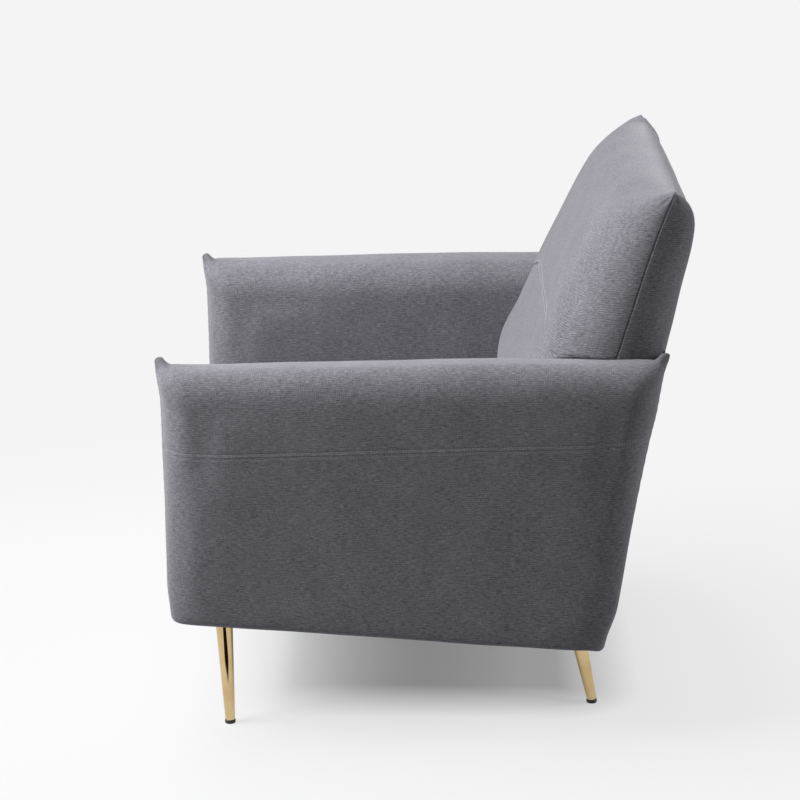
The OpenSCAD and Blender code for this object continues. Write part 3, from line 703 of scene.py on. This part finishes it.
def arm_under(y):
    """Height of the arm's underside, which droops a little at its corners."""
    front, rear = y - arm_front(UNDER_Z), arm_rear(arm_lo.z) - y
    droop = 1 * MM * (1 - ease(front, 4 * MM, 40 * MM)) + 4 * MM * (1 - ease(rear, 4 * MM, 30 * MM))
    return under_z(y) - SAG - droop


def arm_lines():
    """The lines along an arm's side, as half width, height and inset, and the number of the seam's line."""
    flat = ARM_HALF - SHOULDER_R
    low_half = ARM_HALF - ARM_TAPER
    lines = []
    for share in (0, 0.5, 1):
        lines.append((flat * share, raised(arm_top, -0.5 * MM * share * share), 0))
    for turn in quarter(8)[1:]:
        drop = SHOULDER_R * (1 - math.cos(turn))
        lines.append((flat + SHOULDER_R * math.sin(turn), raised(arm_top, -drop), 0))
    for share in np.linspace(0, 1, 10)[1:]:
        lines.append((ARM_HALF, between(raised(arm_top, -SHOULDER_R), arm_seam, share), 0))
    seam_line = len(lines) - 1
    for share in np.linspace(0, 1, 28)[1:]:
        lines.append((ARM_HALF - ARM_TAPER * share, between(arm_seam, raised(arm_under, EDGE_R), share), 0))
    for turn in quarter(4)[1:]:
        inward = 1 - math.cos(turn)
        lines.append((low_half - EDGE_R * inward, raised(arm_under, EDGE_R * (1 - math.sin(turn))),
                      CORNER_R * inward))
    for inset in np.linspace(0, low_half - EDGE_R, 6)[1:]:
        lines.append((low_half - EDGE_R - inset, arm_under, CORNER_R + inset))
    return lines, seam_line


def arm_half():
    """One side of an arm from the middle of its top to the middle of its underside, with x across."""
    lines, seam_line = arm_lines()
    rows = []
    for half, height, inset in lines:
        low, high = float(height(EAR_FRONT)), float(height(EAR_REAR))
        start = arm_front(low) + inset + tip_round(arm_top(EAR_FRONT) - low, EAR_R)
        end = arm_rear(high) - inset - tip_round(arm_top(EAR_REAR) - high, EAR_R)
        y, fullness = rounded_run(start, end, max(ARM_END_R - inset, 0.5 * MM), end_steps=11, mid_steps=64)
        z = height(y)
        thin = np.maximum(0.55 * (1 - ease(y - EAR_FRONT, 7 * MM, 26 * MM)),
                          0.50 * (1 - ease(EAR_REAR - y, 5 * MM, 24 * MM)))
        ear = 1 - thin * ease(z - top_line(y), -20 * MM, 2 * MM)
        boxier = 1 - 0.66 * ease(0.50 - z, 0, 0.32)
        rows.append(np.stack([half * fullness**boxier * ear, y, z], 1))
    return np.array(rows), seam_line


def arm(side, hand):
    """A pillow-like arm, with a twin-needle seam outside. Side is 1 on the left and -1 on the right."""
    half, seam_line = arm_half()
    mirrored = half * [-1, 1, 1]
    grid = np.concatenate([half[::-1], mirrored[1:]])
    grid[..., 0] *= 1 - SETTLE_ROOM / ARM_HALF
    outward = np.clip(side * grid[..., 0] / (45 * MM), -1, 1)
    grid[..., 2] += ARM_TILT * outward * ease(grid[..., 2], 0.46, 0.56)
    held = held_down(grid, ARM_UNDER_ROWS, ARM_UNDER_ROWS)
    grid = settle(grid, held, pressure=3.5, cap=4 * MM)
    fine, distance = refined(grid, len(half) - 1 - side * seam_line)
    ears = [(0, y, arm_top(y)) for y in (EAR_FRONT, EAR_REAR)]
    lift = seam_lift(fine, depth=2.0 * MM, width=1.4 * MM)
    lift += rumple(fine, size=90 * MM, amount=1.2 * MM, seed=3 + side)
    lift += ear_folds(fine, ears, count=4, amount=0.8 * MM, reach=24 * MM, flat_axis=0)
    lift += twin_lift(distance) * ease(from_ends(fine), 2 * MM, 12 * MM)
    fine[..., 0] += side * ARM_X
    placed = padded_cover(f"arm_{hand}", fine, lift, [f"arm_cover_{hand}", f"arm_foam_{hand}"])
    lines = [stitch_line(placed, distance, way * TWIN_HALF, skip=8) for way in (-1, 1)]
    stitches(f"arm_{hand}_stitching", lines)


arm(1, "left")
arm(-1, "right")

# ---- Back above the arms ----

BACK_TOP = 822 * MM
BACK_HALF = pillow_hi.x
BACK_EAR_R = 6 * MM
PLAN_R = 125 * MM  # low down, the front turns round to the side seams over this width
CORNER_PLAN_R = 40 * MM  # and both faces over this width at the very top
FOOT_R = 8 * MM
FOOT_STEPS = 4
UNDER_STEPS = 7
WING_Z = SPLIT_Z - 5 * MM
BACK_SLACK = 0.97  # the back starts this much of its full depth, and settling fills it out
FAINT = 0.3  # the back's twin seam is this much as deep as the arms'


def side_seam(z):
    """Depth of the seam on the back's side."""
    up = z - 0.588
    return 0.2787 + 0.2886 * up + 0.007 * np.clip(up / 0.239, 0, 2) ** 5


def front_reach(z):
    """How far the front of the back stands out from the side seam."""
    up = z - 0.600
    return 0.109 - 0.145 * up - 0.20 * up**2


def rear_reach(z):
    """How far the rear of the back stands out from the side seam."""
    up = z - 0.587
    return 0.0775 - 0.115 * up + 0.08 * up**2


def plan_full(x):
    """How full the back's front is at x, from 0 at the side seams to 1."""
    into = np.clip(1 - (BACK_HALF - np.abs(x)) / PLAN_R, 0, 1)
    return np.sqrt(1 - into**2)


def low_seam(x):
    """Height of the twin-needle seam across the back, which drops into the corners with the arms."""
    return WING_Z + 32 * MM * (1 - ease(np.abs(x), 0.150, 0.297))


def foot_share(x):
    """The underside's rounding fades away between the arms, where the front runs on down."""
    return 0.07 + 0.93 * ease(np.abs(x), 0.292, 0.325)


def back_top(x):
    """Height of the back's top, with its two ears."""
    away = BACK_HALF - np.abs(x)
    return BACK_TOP + 6.5 * MM * (1 - ease(away, 4 * MM, 38 * MM))


def fold_size(x):
    """The top fold's share of its full height, which gets smaller towards the ears."""
    return 0.75 + 0.25 * ease(BACK_HALF - np.abs(x), 0, 60 * MM)


# A face of the back: its way from the side seams, how far it stands out, the height of its top fold, the
# line of its foot, and the radius at which it turns round to the side seams high up, half way and low down.
Face = namedtuple("Face", "way reach fold foot high_r mid_r low_r")
FRONT = Face(-1, front_reach, 42 * MM, low_seam, 150 * MM, 150 * MM, PLAN_R)
REAR = Face(1, rear_reach, 66 * MM, level(WING_Z - 3 * MM), 38 * MM, 56 * MM, 60 * MM)


def back_lines(face):
    """A face's lines from the top down: share of its full depth, height, inset and corner radius."""

    def folded(turn):
        return lambda x: back_top(x) - face.fold * fold_size(x) * (1 - math.cos(turn))

    def footed(turn):
        return lambda x: face.foot(x) + FOOT_R * foot_share(x) * (1 - math.sin(turn))

    lines = []
    for turn in quarter(9):
        radius = CORNER_PLAN_R + (face.high_r - CORNER_PLAN_R) * math.sin(turn) ** 2
        lines.append((math.sin(turn), folded(turn), 0, radius))
    for share in np.linspace(0, 1, 22)[1:]:
        radius = (face.high_r + (face.mid_r - face.high_r) * ease(share, 0, 0.5)
                  + (face.low_r - face.mid_r) * ease(share, 0.5, 1))
        lines.append((1, between(folded(math.pi / 2), footed(0), share), 0, radius))
    for turn in quarter(FOOT_STEPS)[1:]:
        lines.append((1, footed(turn), FOOT_R * (1 - math.cos(turn)), face.low_r))
    for share in np.linspace(0, 1, UNDER_STEPS + 1)[1:]:
        height = between(face.foot, level(WING_Z), share)
        lines.append((1 - share, height, FOOT_R + share * 50 * MM, face.low_r))
    return lines


def back_half(face):
    """The front or the rear of the back above the arms, as rows from its top fold down."""
    tip = float(back_top(BACK_HALF))
    rows = []
    for full, height, inset, radius in back_lines(face):
        half = BACK_HALF - inset - tip_round(tip - float(height(BACK_HALF)), BACK_EAR_R)
        x, fullness = rounded_run(-half, half, radius, end_steps=12, mid_steps=60)
        z = height(x)
        thick = (face.reach(z) - min(inset, FOOT_R) * foot_share(x)) * full
        rows.append(np.stack([x, side_seam(z) + face.way * thick * fullness, z], 1))
    return np.array(rows)


def thinned(grid, share):
    """The grid with its depth off the side seams made smaller."""
    seam = side_seam(grid[..., 2])
    depth = seam + (grid[..., 1] - seam) * share
    return np.stack([grid[..., 0], depth, grid[..., 2]], 2)


def pinch(grid, ears, reach, amount):
    """Draws the back together near its ears."""
    close = 0
    for ear in ears:
        away = (grid - np.array(ear)) * [1, 0, 1]
        close = close + near(np.linalg.norm(away, axis=2), reach)
    return thinned(grid, 1 - amount * np.clip(close, 0, 1))


def back_pillow():
    """The pillow-like back above the arms, with a twin-needle seam across the foot of its front."""
    front, rear = back_half(FRONT), back_half(REAR)
    ears = [(side * BACK_HALF, side_seam(BACK_TOP), back_top(BACK_HALF)) for side in (-1, 1)]
    grid = pinch(np.concatenate([front[::-1], rear[1:]]), ears, reach=20 * MM, amount=0.4)
    grid = thinned(grid, BACK_SLACK)
    seam = FOOT_STEPS + UNDER_STEPS
    grid = settle(grid, held_down(grid, seam + 3, seam + 2), pressure=4.0, cap=6 * MM)
    fine, distance = refined(grid, seam)
    lift = seam_lift(fine, depth=1.6 * MM, width=1.1 * MM)
    lift += rumple(fine, size=110 * MM, amount=1.6 * MM, seed=9)
    lift += ear_folds(fine, ears, count=6, amount=4.5 * MM, reach=15 * MM, flat_axis=1)
    over_seat = ease(-np.abs(fine[..., 0]), -0.305, -0.290)
    lift += FAINT * twin_lift(distance) * ease(distance, -2 * MM, -1 * MM) * over_seat
    placed = padded_cover("back_pillow", fine, lift, ["back_cover_upper", "back_foam_upper"])
    stitches("back_stitching", [stitch_line(placed, distance, TWIN_HALF, skip=22)])


back_pillow()

# ---- Panels between the arms ----


def between_arms(z):
    """Half the space between the arms' inner sides, which widens over their rounded shoulders."""
    shoulder = ARM_TOP_REAR - 5 * MM - SHOULDER_R
    up = np.clip((z - shoulder) / SHOULDER_R, 0, 0.97)
    return INNER_X + 3 * MM * ease(z, 0.45, 0.52) + 46 * MM * (1 - np.sqrt(1 - up**2))


def edged(edge, steps, inner, count):
    """Shares of a panel's width from -1 to 1, closer together in the turned edges."""
    turned = edge * (1 - np.cos(quarter(steps)))
    return np.concatenate([turned - 1, np.linspace(-inner, inner, count), (1 - turned)[::-1]])


def panel_grid(shares, lines, depth, wider):
    """A panel's points, at shares of its width on each line. Wider is what it is tucked in on each side."""
    grid = []
    for height in lines:
        z = height(shares * INNER_X)
        half = between_arms(z) + wider(z)
        x = shares * half
        grid.append(np.stack([x, depth(x, z, half), z], 1))
    return np.array(grid)


KNEE_Z = 0.4355  # the inside back stands square on the seat up to this height
BEND = 0.085  # and bends back over this much more
BEND_RATE = 4.3


def low_front_y(z):
    """Depth of the back's front behind the seat cushion."""
    foot = low_back_lo.y + (z - low_back_lo.z) * math.tan(SLOPE)
    bend = np.clip(z - KNEE_Z, 0, BEND)
    return foot + 0.5 * BEND_RATE * bend**2 + np.maximum(z - KNEE_Z - BEND, 0) * (BEND_RATE * BEND + 0.02)


def low_back_depth(x, z, half):
    """Depth of the inside back, which follows the pillow's front and goes in behind it at the seam."""
    full = plan_full(x)
    under_seam = side_seam(z) - front_reach(z) * BACK_SLACK * full + 0.3 * MM
    behind_cushion = low_front_y(z) + (1 - full) * 0.112
    mix = ease(z, 0.46, 0.54)
    hidden = 3.5 * MM * ease(z - low_seam(x), 0, 3 * MM)
    return behind_cushion * (1 - mix) + under_seam * mix + tucked(x, half, 9 * MM) + hidden


# Rows beside the inside back's seam, in millimetres above it. The second stitch line is on one of them.
SEAM_ROWS = [-11, -9, -7.5, -6, -5, -4.2, -3.4, -2.6, -1.8, -1, 0, 1, 3, 5]


def inside_back():
    foot, top = level(low_back_lo.z), raised(low_seam, -13 * MM)
    lines = [between(foot, top, share) for share in np.linspace(0, 1, 44)]
    lines += [raised(low_seam, row * MM) for row in SEAM_ROWS]
    grid = panel_grid(edged(edge=0.05, steps=6, inner=0.93, count=66), lines, low_back_depth, level(0))
    distance = grid[..., 2] - low_seam(grid[..., 0])
    lift = rumple(grid, size=80 * MM, amount=1.2 * MM, seed=16)
    lift += FAINT * twin_lift(distance) * ease(-distance, 1 * MM, 2 * MM)
    placed = padded_cover("back_front_panel", grid, lift, ["back_cover_lower", "back_foam_lower"])
    line = placed[SEAM_ROWS.index(-3.4) - len(SEAM_ROWS), 4:-4]
    way = np.gradient(line, axis=0)
    stitches("back_panel_stitching", [(line, np.stack([-way[:, 1], way[:, 0], 0 * way[:, 2]], 1))])


def outside_depth(x, z, half):
    """Depth of the outside back, which swells a little and turns in beside the arms."""
    return rear_y(z) - tucked(x, half, 22 * MM) - 1 * MM + 5 * MM * np.cos(x / half * math.pi / 2)


def outside_back():
    lines = [between(level(SPLIT_Z + 2 * MM), level(panel_lo.z), share) for share in np.linspace(0, 1, 52)]
    grid = panel_grid(edged(edge=0.09, steps=9, inner=0.89, count=62), lines, outside_depth,
                      lambda z: 12 * MM + 12 * MM * ease(z, 0.18, 0.45))
    lift = rumple(grid, size=80 * MM, amount=1.2 * MM, seed=12)
    padded_cover("back_outside", grid, lift, ["back_outside_panel", "back_wadding"])


inside_back()
outside_back()

# ---- Seat ----

BAND_R = 6 * MM
BAND_TUCK = 14 * MM  # the band's ends go this far in behind the arms


def front_band():
    """The cover over the front rail, from its turned-in hem up over the deck's edge."""
    high = (band_hi.z - UNDER_Z) / math.cos(SLOPE) + 1 * MM
    hem = [BAND_IN + BAND_HEM]
    cos, sin = np.cos(quarter(5)), np.sin(quarter(5))
    y = np.concatenate([hem, BAND_IN + BAND_R * (1 - sin), np.full(14, BAND_IN),
                        BAND_IN + BAND_R * (1 - cos), hem])
    z = np.concatenate([[0], BAND_R * (1 - cos), np.linspace(BAND_R, high - BAND_R, 16)[1:-1],
                        high - BAND_R * (1 - sin), [high]])
    swell = 1.5 * MM * np.sin(np.pi * np.clip(z / high, 0, 1))
    half = INNER_X + BAND_TUCK
    edge = BAND_TUCK * (1 - cos)
    x = np.concatenate([edge - half, np.linspace(20 * MM - half, half - 20 * MM, 56), (half - edge)[::-1]])
    tuck = 2 * tucked(x, half, BAND_TUCK)
    grid = on_base([np.stack([x, depth + tuck, 0 * x + height], 1) for depth, height in zip(y - swell, z)])
    lift = rumple(grid, size=70 * MM, amount=1.0 * MM, seed=21)
    padded_cover("front_band", grid, lift, ["front_band_cover", "front_band_pad"])


CUSHION_T = 119 * MM
CUSHION_R = 34 * MM  # round its top edge
CUSHION_FOOT_R = 10 * MM
CUSHION_CORNER_R = 42 * MM  # seen from above
CROWN = 9 * MM
UNDER_RINGS = 10
SEAM_RINGS = (11.5, 29)  # the boxing's lower and upper seams, in rings from the middle of the underside


def cushion_ring(half_x, half_y, radius):
    """A closed ring round a rounded rectangle, anticlockwise from its right side."""
    corner = [(half_x - radius + radius * math.cos(turn), half_y - radius + radius * math.sin(turn))
              for turn in quarter(8)]
    across = [(x, half_y) for x in np.linspace(half_x - radius, -(half_x - radius), 40)[1:-1]]
    far_corner = [(-x, y) for x, y in corner[::-1]]
    down = [(-half_x, y) for y in np.linspace(half_y - radius, -(half_y - radius), 30)[1:-1]]
    half = corner + across + far_corner + down
    return half + [(-x, -y) for x, y in half] + [half[0]]


def cushion_rings():
    """A boxed cushion's rings from underneath to the top, as inset, draw-in and height."""
    rings = [(inset, 0, 0) for inset in np.linspace(1, 0, UNDER_RINGS + 1)[:-1]]
    for turn in quarter(3):
        rings.append((0, CUSHION_FOOT_R * (1 - math.sin(turn)), CUSHION_FOOT_R * (1 - math.cos(turn))))
    for share in np.linspace(0, 1, 12)[1:-1]:
        rings.append((0, 0, CUSHION_FOOT_R + (CUSHION_T - CUSHION_FOOT_R - CUSHION_R) * share))
    for turn in quarter(5):
        rings.append((0, CUSHION_R * (1 - math.cos(turn)), CUSHION_T - CUSHION_R * (1 - math.sin(turn))))
    return rings + [(inset, CUSHION_R, CUSHION_T) for inset in np.linspace(0, 1, 17)[1:]]


def cushion_form():
    """The cushion's grid on the sloping deck, with a crowned top."""
    low = (cushion_lo.z - under_z(cushion_hi.y)) * math.cos(SLOPE)
    under_lo, under_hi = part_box("seat_cushion_underside")
    mid_y = ((under_lo.y + under_hi.y) / 2 - FRONT_Y) / math.cos(SLOPE) - low * math.tan(SLOPE)
    half_x = cushion_hi.x - 1 * MM
    half_y = (cushion_hi.y - cushion_lo.y) / 2 / math.cos(SLOPE) - 4 * MM - CUSHION_T * math.sin(SLOPE) / 2
    rows = []
    for inset, draw, height in cushion_rings():
        wide = max((half_x - draw) - inset * (half_y - draw), 0.05 * MM)
        deep = max((half_y - draw) * (1 - inset), 0.05 * MM)
        radius = min(max(CUSHION_CORNER_R - draw - inset * CUSHION_CORNER_R * 0.5, 1 * MM), deep)
        crown = CROWN if height == CUSHION_T else 0
        row = []
        for x, y in cushion_ring(wide, deep, radius):
            rise = crown * max(1 - (x / (half_x - CUSHION_R)) ** 2, 0)
            rise = rise * max(1 - (y / (half_y - CUSHION_R)) ** 2, 0)
            row.append((x, y + mid_y, low + height + rise))
        rows.append(row)
    return np.array(rows)


def seat_cushion():
    """The loose cushion: top, side band and underside, seamed round its edges."""
    grid = cushion_form()
    held = held_down(grid, UNDER_RINGS + 1, 0, ends=False)
    grid = settle(grid, held, pressure=2.0, cap=3.5 * MM)
    rows = row_places(len(grid) - 1, 0.8, SEAM_RINGS, [0.05, 0.12, 0.22, 0.36, 0.6])
    fine = spline(grid, rows)
    lift = rumple(fine, size=90 * MM, amount=1.6 * MM, seed=5)
    for seam in SEAM_RINGS:
        away = past_seam(fine, rows, seam)
        lift += -1.8 * MM * near(away, 1.5 * MM) + 0.5 * MM * near(np.abs(away) - 4 * MM, 2.5 * MM)
    padded_cover("seat_cushion", on_base(fine), lift, ["seat_cushion_cover", "seat_cushion_foam"],
                 body="seat_cushion")


DUST_CLOTH_OVER = 7 * MM  # it is cut this much wider than the dust cover on each side
DUST_CLOTH_SAG = 2 * MM


def dust_cloth():
    """The black cloth stretched under the sloping base."""
    lo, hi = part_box("dust_cover")
    low = (lo.z - under_z(hi.y)) * math.cos(SLOPE) + 0.6 * MM
    start = (lo.y - FRONT_Y) / math.cos(SLOPE)
    end = (hi.y - FRONT_Y) / math.cos(SLOPE)
    half = hi.x + DUST_CLOTH_OVER
    x, y = np.meshgrid(np.linspace(-half, half, 40), np.linspace(start, end, 36))
    sag = DUST_CLOTH_SAG * np.cos(x / half * math.pi / 2) * np.sin((y - start) / (end - start) * math.pi)
    grid = on_base(np.stack([x, y, low - sag], 2))
    made, _ = cloth_piece("dust_cloth", grid, np.zeros(grid.shape[:2]), LINING)
    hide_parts("dust_cover")


front_band()
seat_cushion()
dust_cloth()

# ---- Legs ----

LEG_FOOT_R = 7.5 * MM
LEG_TOP_R = 14 * MM
GLIDE_R = 8.2 * MM
GLIDE_T = 6 * MM
# Millimetres along a leg's foot and a glide, and how much smaller than its full radius each is there.
LEG_FOOT = [(-1.2, 1.0), (-0.4, 0.25), (0.6, 0)]
GLIDE_RIM = [(0, 1.4), (0.3, 0.6), (1.0, 0.1), (2, 0), (5, 0), (5.6, 0.3), (5.95, 1.0)]


def leg(corner):
    """A tapered leg from its glide up into the chair, and the glide under it."""
    mounts = frame["record"]["mounts"]
    foot = Vector(next(mount["pos_m"] for mount in mounts if mount["name"] == f"glide_{corner}_foot"))
    _, leg_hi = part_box("leg_" + corner)
    tops = [v.co for v in NODES["leg_" + corner].data.vertices if v.co.z > leg_hi.z - 8 * MM]
    start = foot + Vector((0, 0, GLIDE_T))
    axis = sum(tops, Vector()) / len(tops) - start
    length = axis.length + 3 * MM
    profile = [(along * MM, LEG_FOOT_R - less * MM) for along, less in LEG_FOOT]
    for share in np.linspace(0.02, 1, 12):
        profile.append((length * share, LEG_FOOT_R + (LEG_TOP_R - LEG_FOOT_R) * share))
    made = lathe(f"leg_{corner}_brass", profile, start, axis.normalized(), BRASS)
    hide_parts("leg_" + corner)
    rim = [(along * MM, GLIDE_R - less * MM) for along, less in GLIDE_RIM]
    pad = lathe(f"glide_{corner}_nylon", rim, foot, (0, 0, 1), NYLON)
    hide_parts("glide_" + corner)


for corner in ("front_left", "front_right", "rear_left", "rear_right"):
    leg(corner)

# ---- Finishes of the pieces inside ----

FINISHES = {
    "hardboard": HARDBOARD, "hardware_steel": STEEL, "webbing": WEBBING, "felt": FELT, "black_cloth": LINING,
    "zip": ZIP, "foam": FELT, "woven_cover": COVER, "leg_brass": BRASS, "glide": NYLON,
}


def finish_of(subpart):
    """A subpart's material. Timber has its grain along its longest side."""
    if subpart["material_slot"] != "frame_timber":
        return FINISHES[subpart["material_slot"]]
    lo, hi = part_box(subpart["node"])
    return PINE[int(np.argmax(hi - lo))]


for subpart in frame["record"]["subparts"]:
    mesh = NODES[subpart["node"]].data
    mesh.materials.clear()
    mesh.materials.append(finish_of(subpart))

# ---- Camera, light and floor ----

CAMERA_PLACE = (3.697, 0.0417, 1.504)
CAMERA_YAW = math.radians(1.334)
CAMERA_PITCH = math.radians(16.328)
CAMERA_LENS = 108


def camera():
    data = bpy.data.cameras.new("camera")
    data.lens = CAMERA_LENS
    data.sensor_width = 36
    data.clip_end = 50
    made = bpy.data.objects.new("camera", data)
    made.location = CAMERA_PLACE
    flat = math.cos(CAMERA_PITCH)
    forward = Vector((-flat * math.cos(CAMERA_YAW), -flat * math.sin(CAMERA_YAW), -math.sin(CAMERA_PITCH)))
    made.rotation_euler = forward.to_track_quat("-Z", "Y").to_euler()
    bpy.context.scene.collection.objects.link(made)
    bpy.context.scene.camera = made


def softbox(name, place, aim, size, power):
    data = bpy.data.lights.new(name, "AREA")
    data.shape = "SQUARE"
    data.size = size
    data.energy = power
    lamp = bpy.data.objects.new(name, data)
    lamp.location = place
    lamp.rotation_euler = (Vector(aim) - Vector(place)).to_track_quat("-Z", "Y").to_euler()
    bpy.context.scene.collection.objects.link(lamp)


def rays(tree):
    """1 for what a reflection looks at, and 1 for what a reflection or the camera looks at."""
    path = add(tree, "LightPath").outputs
    either = add(tree, "Math", {0: path["Is Camera Ray"], 1: path["Is Glossy Ray"]}, operation="MAXIMUM")
    return path["Is Glossy Ray"], either


STUDIO_WHITE = "#F4F4F5"
DIM_GLOW_HALF = (0.17, 0.21, 0)  # half the plan in which the painted glow is weakest, so that the chair's shadow shows most
GLOW_NEAR = 0.13  # the painted glow grows quickly up to this far from it
GLOW_FAR = 1.2  # and slowly up to here
PAINTED_REFLECTION_X = 0.48  # the painted dark reflection starts this far to the chair's left
PAINTED_REFLECTION_Y = -0.25  # and its middle is level with the front legs


# Painted board: matt near-white, which takes the chair's shadow. A glow is painted on it, weakest round the
# chair and stronger away from it, which lightens the shadow into plain white. A dark patch seen only in
# gloss, where a card beside the left front leg would be, is a painted reflection: the dark streak in the
# leg's polish.
def white_floor():
    made, tree, place = material("white_floor")
    reflected, direct = rays(tree)
    mottle = add(tree, "TexNoise", {"Vector": place, "Scale": 2.0})
    tone = add(tree, "ValToRGB", {"Fac": mottle}, [(0.3, "#DCDCDD"), (0.7, "#E0E0E1")])
    shown = add(tree, "Mix", {0: direct, 6: colour("#9A9A9B"), 7: tone}, data_type="RGBA")
    matt = add(tree, "BsdfDiffuse", {"Color": shown.outputs[2]})
    painted_glow = add(tree, "Emission", {"Color": colour(STUDIO_WHITE), "Strength": 1.0})
    plan = add(tree, "VectorMath", {0: place}, operation="ABSOLUTE")
    beyond = add(tree, "VectorMath", {0: plan, 1: DIM_GLOW_HALF}, operation="SUBTRACT")
    outside = add(tree, "VectorMath", {0: beyond, 1: (0, 0, 0)}, operation="MAXIMUM")
    away = add(tree, "VectorMath", {0: outside}, operation="LENGTH").outputs["Value"]
    # Painted light: the glow's share grows with distance from the chair, so that its shadow fades into white.
    close = add(tree, "MapRange", {"Value": away, 1: 0.0, 2: GLOW_NEAR, 3: 0.22, 4: 0.8})
    far = add(tree, "MapRange", {"Value": away, 1: GLOW_NEAR, 2: GLOW_FAR, 3: 0.0, 4: 0.2})
    painted_light_share = add(tree, "Math", {0: close, 1: far}, operation="ADD")
    share = add(tree, "Math", {0: direct, 1: painted_light_share}, operation="MULTIPLY")
    board = add(tree, "MixShader", {0: share, 1: matt, 2: painted_glow})
    axes = add(tree, "SeparateXYZ", {0: place}).outputs
    # Painted reflection: a dark patch that only gloss rays see, for the streak in the left front leg's
    # polish.
    from_painted_reflection = add(tree, "Math", {0: axes[1], 1: PAINTED_REFLECTION_Y}, operation="SUBTRACT")
    across = add(tree, "Math", {0: from_painted_reflection}, operation="ABSOLUTE")
    narrow = add(tree, "MapRange", {"Value": across, 1: 0.13, 2: 0.17, 3: 1.0, 4: 0.0})
    slant = add(tree, "Math", {0: across, 1: -0.4, 2: axes[0]}, operation="MULTIPLY_ADD")
    beside = add(tree, "MapRange", {"Value": slant, 1: PAINTED_REFLECTION_X, 2: PAINTED_REFLECTION_X + 0.05, 3: 0.0, 4: 1.0})
    on_painted_reflection = add(tree, "Math", {0: beside, 1: narrow}, operation="MULTIPLY")
    streak = add(tree, "Math", {0: on_painted_reflection, 1: reflected}, operation="MULTIPLY")
    painted_reflection = add(tree, "Emission", {"Color": colour("#1C130A"), "Strength": 1.0})
    whole = add(tree, "MixShader", {0: streak, 1: board, 2: painted_reflection})
    add(tree, "OutputMaterial", {"Surface": whole})
    return made


def floor():
    mesh = bpy.data.meshes.new("floor")
    mesh.from_pydata([(-9, -9, 0), (9, -9, 0), (9, 9, 0), (-9, 9, 0)], [], [(0, 1, 2, 3)])
    mesh.materials.append(white_floor())
    made = bpy.data.objects.new("floor", mesh)
    bpy.context.scene.collection.objects.link(made)


def world():
    """A dim even light from all round, which the camera and gloss see as white."""
    made = bpy.data.worlds.new("studio")
    bpy.context.scene.world = made
    made.use_nodes = True
    tree = made.node_tree
    tree.nodes.clear()
    _, direct = rays(tree)
    dim = add(tree, "Background", {"Color": colour("#F2F3F6"), "Strength": 0.155})
    bright = add(tree, "Background", {"Color": colour(STUDIO_WHITE), "Strength": 1.0})
    both = add(tree, "MixShader", {0: direct, 1: dim, 2: bright})
    add(tree, "OutputWorld", {"Surface": both})


camera()
softbox("key_softbox", (0.75, -2.1, 1.9), aim=(0, 0, 0.45), size=1.4, power=98)
softbox("top_softbox", (-0.7, -0.9, 3.1), aim=(0, 0, 0), size=2.6, power=91)
softbox("rear_softbox", (0.1, 2.4, 1.4), aim=(0, 0.2, 0.5), size=1.6, power=24)
floor()
world()
bpy.context.scene.view_settings.view_transform = "Standard"
